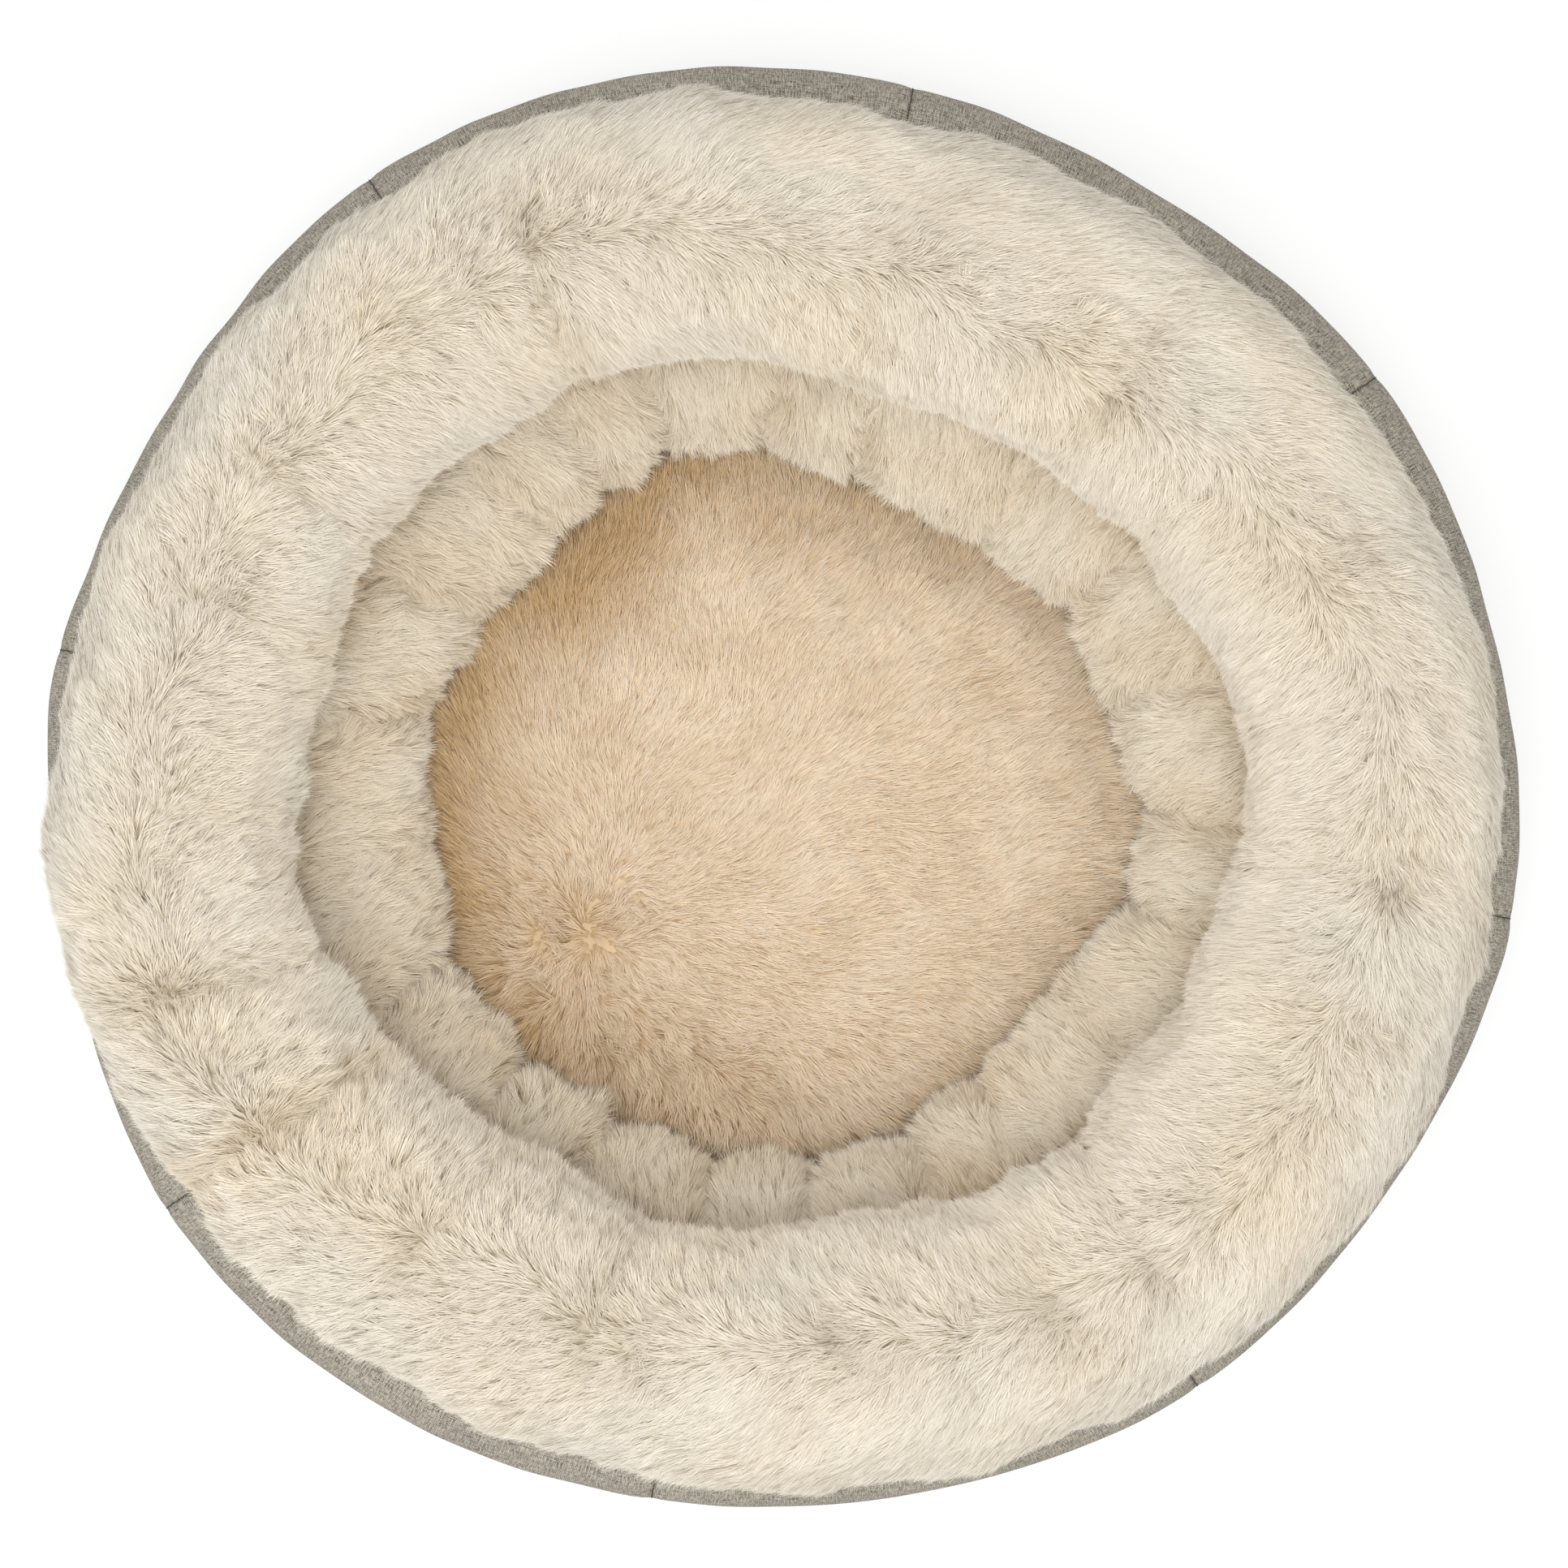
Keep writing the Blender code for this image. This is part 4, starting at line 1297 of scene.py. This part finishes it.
def add_stitches(name, points):
    """A row of stitches along a seam, in thread as thick as upholsterers use."""
    edges = [(i, i + 1) for i in range(len(points) - 1)]
    seam = mesh_object(name + "_line", points, [], edges)
    values = {"Pitch": STITCH_PITCH, "Stitch": STITCH_RADII}
    made = made_by(STITCH_TREE, name, seam, THREAD, values)
    discard(seam)
    dress(made, THREAD, "linen_wall", "bed")


LAMP_PLACE = (-0.35, -0.7, 3.0)
LAMP_WIDTH = 2.6
LAMP_WATTS = 54
FLOOR_SIZE = 30.0
FLOOR_GREY = 0.36
FLOOR_GLOW = 0.66
FLOOR_DROP = 0.2 * MM
SKY_STRENGTH = 0.88
WHITE = (1, 1, 1, 1)


def add_camera():
    data = bpy.data.cameras.new("camera")
    data.sensor_width = SENSOR_WIDTH
    data.lens = SENSOR_WIDTH * CAMERA_HEIGHT / FLOOR_IN_VIEW
    made = link(bpy.data.objects.new("camera", data))
    made.location = (0, 0, CAMERA_HEIGHT)
    bpy.context.scene.camera = made


def add_lamp():
    """A broad lamp overhead, a little to the lower left of the overhead view."""
    data = bpy.data.lights.new("overhead lamp", "AREA")
    data.shape = "DISK"
    data.size = LAMP_WIDTH
    data.energy = LAMP_WATTS
    made = link(bpy.data.objects.new("overhead lamp", data))
    made.location = LAMP_PLACE
    made.rotation_euler = (-made.location).to_track_quat("-Z", "Y").to_euler()
    made.visible_camera = False


def seen_directly(tree):
    """1 for the rays that show the surroundings: the camera's, and those off metal or glass."""
    path = add(tree, "ShaderNodeLightPath")
    total = result(path, "Is Camera Ray")
    for kind in ("Is Glossy Ray", "Is Transmission Ray"):
        either = {0: total, 1: result(path, kind)}
        total = result(add(tree, MATH, either, operation="MAXIMUM"))
    return total


def add_studio():
    """A white floor and surroundings, with soft light from all of them."""
    half = FLOOR_SIZE / 2
    corners = [(-half, -half, 0), (half, -half, 0), (half, half, 0), (-half, half, 0)]
    floor = mesh_object("studio_floor", corners, [(0, 1, 2, 3)])
    floor.location.z = -FLOOR_DROP
    made, tree, shader = new_material("white paper floor")
    glow = {0: seen_directly(tree), 1: FLOOR_GLOW}
    looks = {
        "Base Color": (FLOOR_GREY, FLOOR_GREY, FLOOR_GREY, 1),
        "Roughness": 1.0,
        "Specular IOR Level": 0.0,
        "Emission Color": WHITE,
        "Emission Strength": add(tree, MATH, glow, operation="MULTIPLY"),
    }
    wire(tree, shader, looks)
    floor.data.materials.append(made)

    world = bpy.data.worlds.new("studio")
    bpy.context.scene.world = world
    world.use_nodes = True
    tree = world.node_tree
    tree.nodes.clear()
    glow = {"Value": seen_directly(tree), "To Min": SKY_STRENGTH, "To Max": 1.0}
    light = {"Color": WHITE, "Strength": add(tree, MAP_RANGE, glow)}
    sky = add(tree, "ShaderNodeBackground", light)
    add(tree, "ShaderNodeOutputWorld", {"Surface": sky})


def ring_of(name, loop, steps=STATIONS * 3):
    """A closed ring over loops of points that go all the way round the bed."""
    angles = FIRST_SEAM + np.arange(steps) * FULL_TURN / steps
    return closed_skin(name, np.stack([loop(np.array(angle)) for angle in angles]), endless=True)


# The ring's filling lies this deep in its cover, and the wall's this far inside the pieces round it
RING_STUFFING_DEPTH = 25 * MM
WALL_STUFFING_INSET = 9 * MM
LID_INSET = 7 * MM
LID_DROP = 4 * MM
REAR_INSET = 17 * MM
PARTITION_DEPTHS = (13.2 * MM, 13.8 * MM)


def add_fillings():
    """The fillings of the ring and of the wall, and the cloth between them."""
    arounds = np.arange(0, 360, 10) * DEG

    def ring_loop(angle):
        bare = RING.point(angle, arounds)
        depth = RING_STUFFING_DEPTH - 2 * MM * ripple(bare, 40 * MM, 91)
        return RING.point(angle, arounds, depth)

    made = ring_of("ring_stuffing", ring_loop)
    dress(made, FILLING, "fibre_filling", "bed", "bolster_fill")

    under = np.linspace(318, 242, 8) * DEG
    back = np.linspace(100, 215, 10) * DEG
    rises = np.linspace(0.06, 0.9, 10)

    def wall_loop(angle):
        wall = WALL.point(angle, rises, WALL_STUFFING_INSET)
        lid = RING.point(angle, under, LID_INSET)
        lid[..., 2] -= LID_DROP
        rear = LOWER.point(angle, back, REAR_INSET)
        loop = np.concatenate((wall, lid, rear))
        return loop + outward(loop) * (MM * ripple(loop, 35 * MM, 92))[:, None]

    made = ring_of("wall_stuffing", wall_loop)
    dress(made, FILLING, "fibre_filling", "bed", "wall_fill")

    across = np.linspace(234, 331, 24) * DEG

    def partition_loop(angle):
        sag = 0.4 * MM * ripple(RING.point(angle, across), 18 * MM, 93)
        below, above = (RING.point(angle, across, depth + sag) for depth in PARTITION_DEPTHS)
        return np.concatenate((below[::-1], above))

    made = ring_of("partition_lining", partition_loop)
    dress(made, LINING, "lining_cloth", "bed", "partition_cloth")


DISC_SPOKES = 192
DISC_MIDDLE = 0.01
GRIP_PITCH = 17 * MM
GRIP_RADIUS = 2.2 * MM
GRIP_FOOT_SHARE = 0.8
GRIP_HEIGHT = 0.6 * MM
GRIP_SIDES = 7
GRIPS_REACH = 0.5
GRIP_MARGIN = 4 * MM
HEM_WIDTH_SHARE = 0.03


def disc(name, radius, profile):
    """A closed disc with shares of its radius and heights from its top's middle, round its rim,
    to its underside's middle."""
    angles = round_turn(DISC_SPOKES)
    rows = [placed(radius(angles) * out, angles, height) for out, height in profile]
    return closed_skin(name, np.stack(rows))


def radius_of(node):
    """The radius of a round node at any angle."""
    rims = extents(node)[0]
    return lambda angle: at_angle(rims, angle)


def flat_profile(low, high, rim, steps=12):
    """Shares and heights of a flat layer whose rim is rounded over a share of its radius."""
    shares = np.linspace(DISC_MIDDLE, 1 - rim, steps)
    drop = (high - low) * 0.3
    edge = [(1 - rim * 0.3, high - drop * 0.3), (1, high - drop)]
    edge += [(1, low + drop), (1 - rim * 0.3, low + drop * 0.3)]
    return [(out, high) for out in shares] + edge + [(out, low) for out in shares[::-1]]


def lay_flat(radius):
    """Reads a round sheet's radius round its rim, and keeps nothing of it."""
    rims = radius(round_turn(DISC_SPOKES))


def row_of(name, shape, places, material):
    """One mesh with the same shape at every place. The shape itself is used up."""
    spots = mesh_object(name + "_places", places, [])
    made = made_by(ROW_TREE, name, spots, material, {"Shape": shape})
    discard(spots, shape)
    return made


def add_grips(radius):
    """Grip dots in staggered rows under the base cloth."""
    turns = round_turn(GRIP_SIDES)
    rings = ((GRIP_RADIUS, GRIP_HEIGHT), (GRIP_RADIUS * GRIP_FOOT_SHARE, 0))
    dot = closed_skin("grip", np.stack([placed(r + 0 * turns, turns, h) for r, h in rings]))
    places = []
    rows = np.arange(-GRIPS_REACH, GRIPS_REACH, GRIP_PITCH * math.sqrt(3) / 2)
    for count, along in enumerate(rows):
        shift = GRIP_PITCH / 2 * (count % 2)
        for across in np.arange(-GRIPS_REACH, GRIPS_REACH, GRIP_PITCH) + shift:
            limit = float(radius(np.array(math.atan2(along, across)))) * (1 - HEM_WIDTH_SHARE)
            if math.hypot(across, along) < limit - GRIP_MARGIN:
                places.append((across, along, 0))
    dress(row_of("grip_dots", dot, places, GRIP), GRIP, "base_cloth", "bed")


def add_floor_layers():
    """The non-slip cloth that the bed stands on, with its hem, and the foam and lining over it."""
    radius = radius_of("base_cloth")
    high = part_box("base_cloth")[1].z
    hem = 1 - HEM_WIDTH_SHARE
    shares = np.linspace(DISC_MIDDLE, hem, 14)
    profile = [(out, high) for out in shares]
    profile += [(1, high), (1, 0), (hem, 0), (1 - HEM_WIDTH_SHARE * 1.2, GRIP_HEIGHT)]
    profile += [(out, GRIP_HEIGHT) for out in shares[-2::-1]]
    made = disc("base_sheet", radius, profile)
    dress(made, BASE_CLOTH, "base_cloth", "bed", "base_cloth")
    lay_flat(radius)
    add_grips(radius)

    for node, name, material, slot, rim in (
        ("base_pad", "floor_foam", FOAM, "foam", 0.01),
        ("floor_lining", "floor_cloth", LINING, "lining_cloth", 0.003),
    ):
        low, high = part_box(node)
        made = disc(name, radius_of(node), flat_profile(low.z, high.z, rim))
        dress(made, material, slot, "bed", node)
        if material is FOAM:
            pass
        else:
            lay_flat(radius_of(node))


CUSHION_EDGE_ROUND = 30 * MM
UNDERSIDE_THICKNESS = 1 * MM
STUFFING_DEPTH = 13 * MM
STUFFING_SHARE = 0.97
STUFFING_RINGS = 20
STUFFING_GAP = 1.5 * MM
SLOT_GAP = 0.4 * MM
RECESS_MARGIN = 4 * MM
RECESS_RISE = 8 * MM


def underside_point(angle, turn, depth):
    """A point of the cushion's lower edge, turn being 0 on its flat and 90 degrees at its seam."""
    radius = at_angle(CUSHION.radius, angle) - CUSHION_EDGE_INSET - CUSHION_EDGE_ROUND
    radius = radius + (CUSHION_EDGE_ROUND - depth) * np.sin(turn)
    tall = CUSHION.seam - CUSHION.foot - depth
    return placed(radius, angle, CUSHION.foot + depth + tall * (1 - np.cos(turn)))


def underside_rows(depth, rows=14):
    """Rings of points from the middle of the flat underside to its seam, gathered at the seam."""
    angles = round_turn(CUSHION_SPOKES)
    flat = underside_point(angles, 0, depth)
    found = [flat * (out, out, 1) for out in np.linspace(DISC_MIDDLE, 1, rows)]
    for turn in np.linspace(0, math.pi / 2, rows)[1:]:
        ring = underside_point(angles, turn, depth)
        gathers = 0.5 * MM * ripple(ring, 14 * MM, 95) * math.sin(turn)
        found.append(ring - outward(ring) * np.abs(gathers)[:, None])
    return np.stack(found)


def add_cushion_body():
    """The cushion's lower cloth, with a slot cut for its zip, and its filling."""
    inside, outside = underside_rows(UNDERSIDE_THICKNESS), underside_rows(0.0)
    made = closed_skin("cushion_base", np.concatenate((inside, outside[::-1])))
    low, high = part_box("zip_welt")
    corners = [
        (x, y, z)
        for x in (low.x - SLOT_GAP, high.x + SLOT_GAP)
        for y in (low.y - SLOT_GAP, high.y + SLOT_GAP)
        for z in (low.z - MM, low.z + 3 * MM)
    ]
    sides = [(0, 1, 3, 2), (4, 6, 7, 5), (0, 4, 5, 1), (2, 3, 7, 6), (0, 2, 6, 4), (1, 5, 7, 3)]
    slot = mesh_object("zip_slot", corners, sides)
    boolean = made.modifiers.new("zip_slot", "BOOLEAN")
    boolean.operation = "DIFFERENCE"
    boolean.object = slot
    mesh = plain_mesh(made)
    made.modifiers.remove(boolean)
    made.data = mesh
    discard(slot)
    dress(made, LINING, "lining_cloth", "cushion", "cushion_underside")

    below = underside_rows(UNDERSIDE_THICKNESS + STUFFING_GAP)
    spread = (np.abs(below[..., 0]) - high.x) / RECESS_MARGIN
    breadth = (np.abs(below[..., 1]) - high.y) / RECESS_MARGIN
    below[..., 2] += RECESS_RISE * smooth(2, 1, np.maximum(spread, breadth))
    shares = dome_shares(STUFFING_SHARE, STUFFING_RINGS)
    out, angle = np.meshgrid(shares, round_turn(CUSHION_SPOKES), indexing="ij")
    above = cushion_surface(angle, out, STUFFING_DEPTH - CUSHION_PILE_DEPTH)
    above[..., :2] *= STUFFING_SHARE
    made = closed_skin("cushion_stuffing", np.concatenate((above, below[::-1])))
    dress(made, FILLING, "fibre_filling", "cushion", "cushion_fill")


WELT_CORNER = 2.5 * MM
# The welt's section: how far in, in millimetres, and the share of its height
WELT_SECTION = (
    (0, 0.3), (0, 0.85), (0.25, 1), (0.75, 1), (1, 0.85), (1, 0.2), (0.7, 0), (0.3, 0)
)
TAPE_STEPS = 80
TAPE_EDGE = 0.3 * MM
TAPE_SHARE = 0.6
TAPE_RIPPLE = 0.05 * MM
TAPE_RIPPLE_LENGTH = 7 * MM
COIL_PITCH = 1.5 * MM
COIL_WIRE = 0.28 * MM
COIL_SIDES = 5
# One turn of the coil, in millimetres: along the zip, out from its middle line, and up
COIL_TURN = (
    (0, 2.35, 0.4), (0.05, 1.1, 0.42), (0.2, 0.8, 0.0), (0.35, 1.1, -0.42), (0.4, 2.35, -0.4)
)
ALONG_ZIP = np.array((1.0, 0, 0))


def rounded_path(half_length, half_width, corner, steps=6):
    """Points and outward ways round a rectangle with round corners, anticlockwise from above."""
    points, ways = [], []
    for quarter, (x, y) in enumerate(((1, 1), (-1, 1), (-1, -1), (1, -1))):
        for turn in np.linspace(0, math.pi / 2, steps) + quarter * math.pi / 2:
            way = np.array((math.cos(turn), math.sin(turn), 0))
            centre = np.array((x * (half_length - corner), y * (half_width - corner), 0))
            points.append(centre + corner * way)
            ways.append(way)
    return np.array(points), np.array(ways)


def add_tape(label):
    """One of the zip's two tapes, a thin ribbon with a slight ripple along it."""
    low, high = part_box("zip_tape_" + label)
    middle, half = (low.z + high.z) / 2, (high.z - low.z) / 2
    across = [low.y, low.y + TAPE_EDGE, high.y - TAPE_EDGE, high.y]
    loops = []
    for x in np.linspace(low.x, high.x, TAPE_STEPS):
        wave = TAPE_RIPPLE * math.sin(x / TAPE_RIPPLE_LENGTH)
        top = [(x, y, middle + half * TAPE_SHARE + wave) for y in across]
        bottom = [(x, y, middle - half * TAPE_SHARE + wave) for y in reversed(across)]
        loops.append(top + bottom)
    made = closed_skin("zip_ribbon_" + label, np.array(loops)[:, ::-1])
    dress(made, ZIP_TAPE, "zip_tape", "cushion", "zip_tape_" + label)


def add_coil(side, label):
    """One half of the zip's nylon coil: the same turn repeated along the tape."""
    low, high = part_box("zip_coil_" + label)
    bends = np.array(COIL_TURN) * MM * (1, side, 1)
    sideways = unit(np.cross(unit(np.gradient(bends, axis=0)), ALONG_ZIP))
    turns = round_turn(COIL_SIDES)[:, None] * side
    loops = [
        bend + COIL_WIRE * (np.cos(turns) * ALONG_ZIP + np.sin(turns) * way)
        for bend, way in zip(bends, sideways)
    ]
    tooth = closed_skin("zip_tooth", np.array(loops))
    level = (low.z + high.z) / 2
    count = int((high.x - low.x) / COIL_PITCH)
    places = [(low.x + (i + 0.4) * COIL_PITCH, 0, level) for i in range(count)]
    made = row_of("zip_teeth_" + label, tooth, places, NYLON)
    dress(made, NYLON, "zip_coil", "cushion", "zip_coil_" + label)


def add_zip():
    """The zip's welt, tapes and coils, and the finish of its metal pieces."""
    low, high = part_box("zip_welt")
    points, ways = rounded_path(high.x, high.y, WELT_CORNER)
    tall = high.z - low.z
    rows = [
        points - ways * inset * MM + (0, 0, low.z + share * tall)
        for inset, share in WELT_SECTION
    ]
    made = closed_skin("zip_binding", np.stack(rows, 1), endless=True)
    dress(made, LINING, "lining_cloth", "cushion", "zip_welt")
    for side, label in ((1, "left"), (-1, "right")):
        add_tape(label)
        add_coil(side, label)
    for node in ("zip_stop_front", "zip_stop_back", "zip_slider"):
        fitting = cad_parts[node]
        fitting.data.materials.clear()
        fitting.data.materials.append(ZIP_METAL)


bpy.context.scene.view_settings.view_transform = "Standard"
add_camera()
add_studio()
add_lamp()
for panel in range(PANELS):
    add_ring_gore(panel)
    add_lower_gore(panel)
add_wall()
add_cushion()
add_cushion_body()
add_zip()
add_fillings()
add_floor_layers()
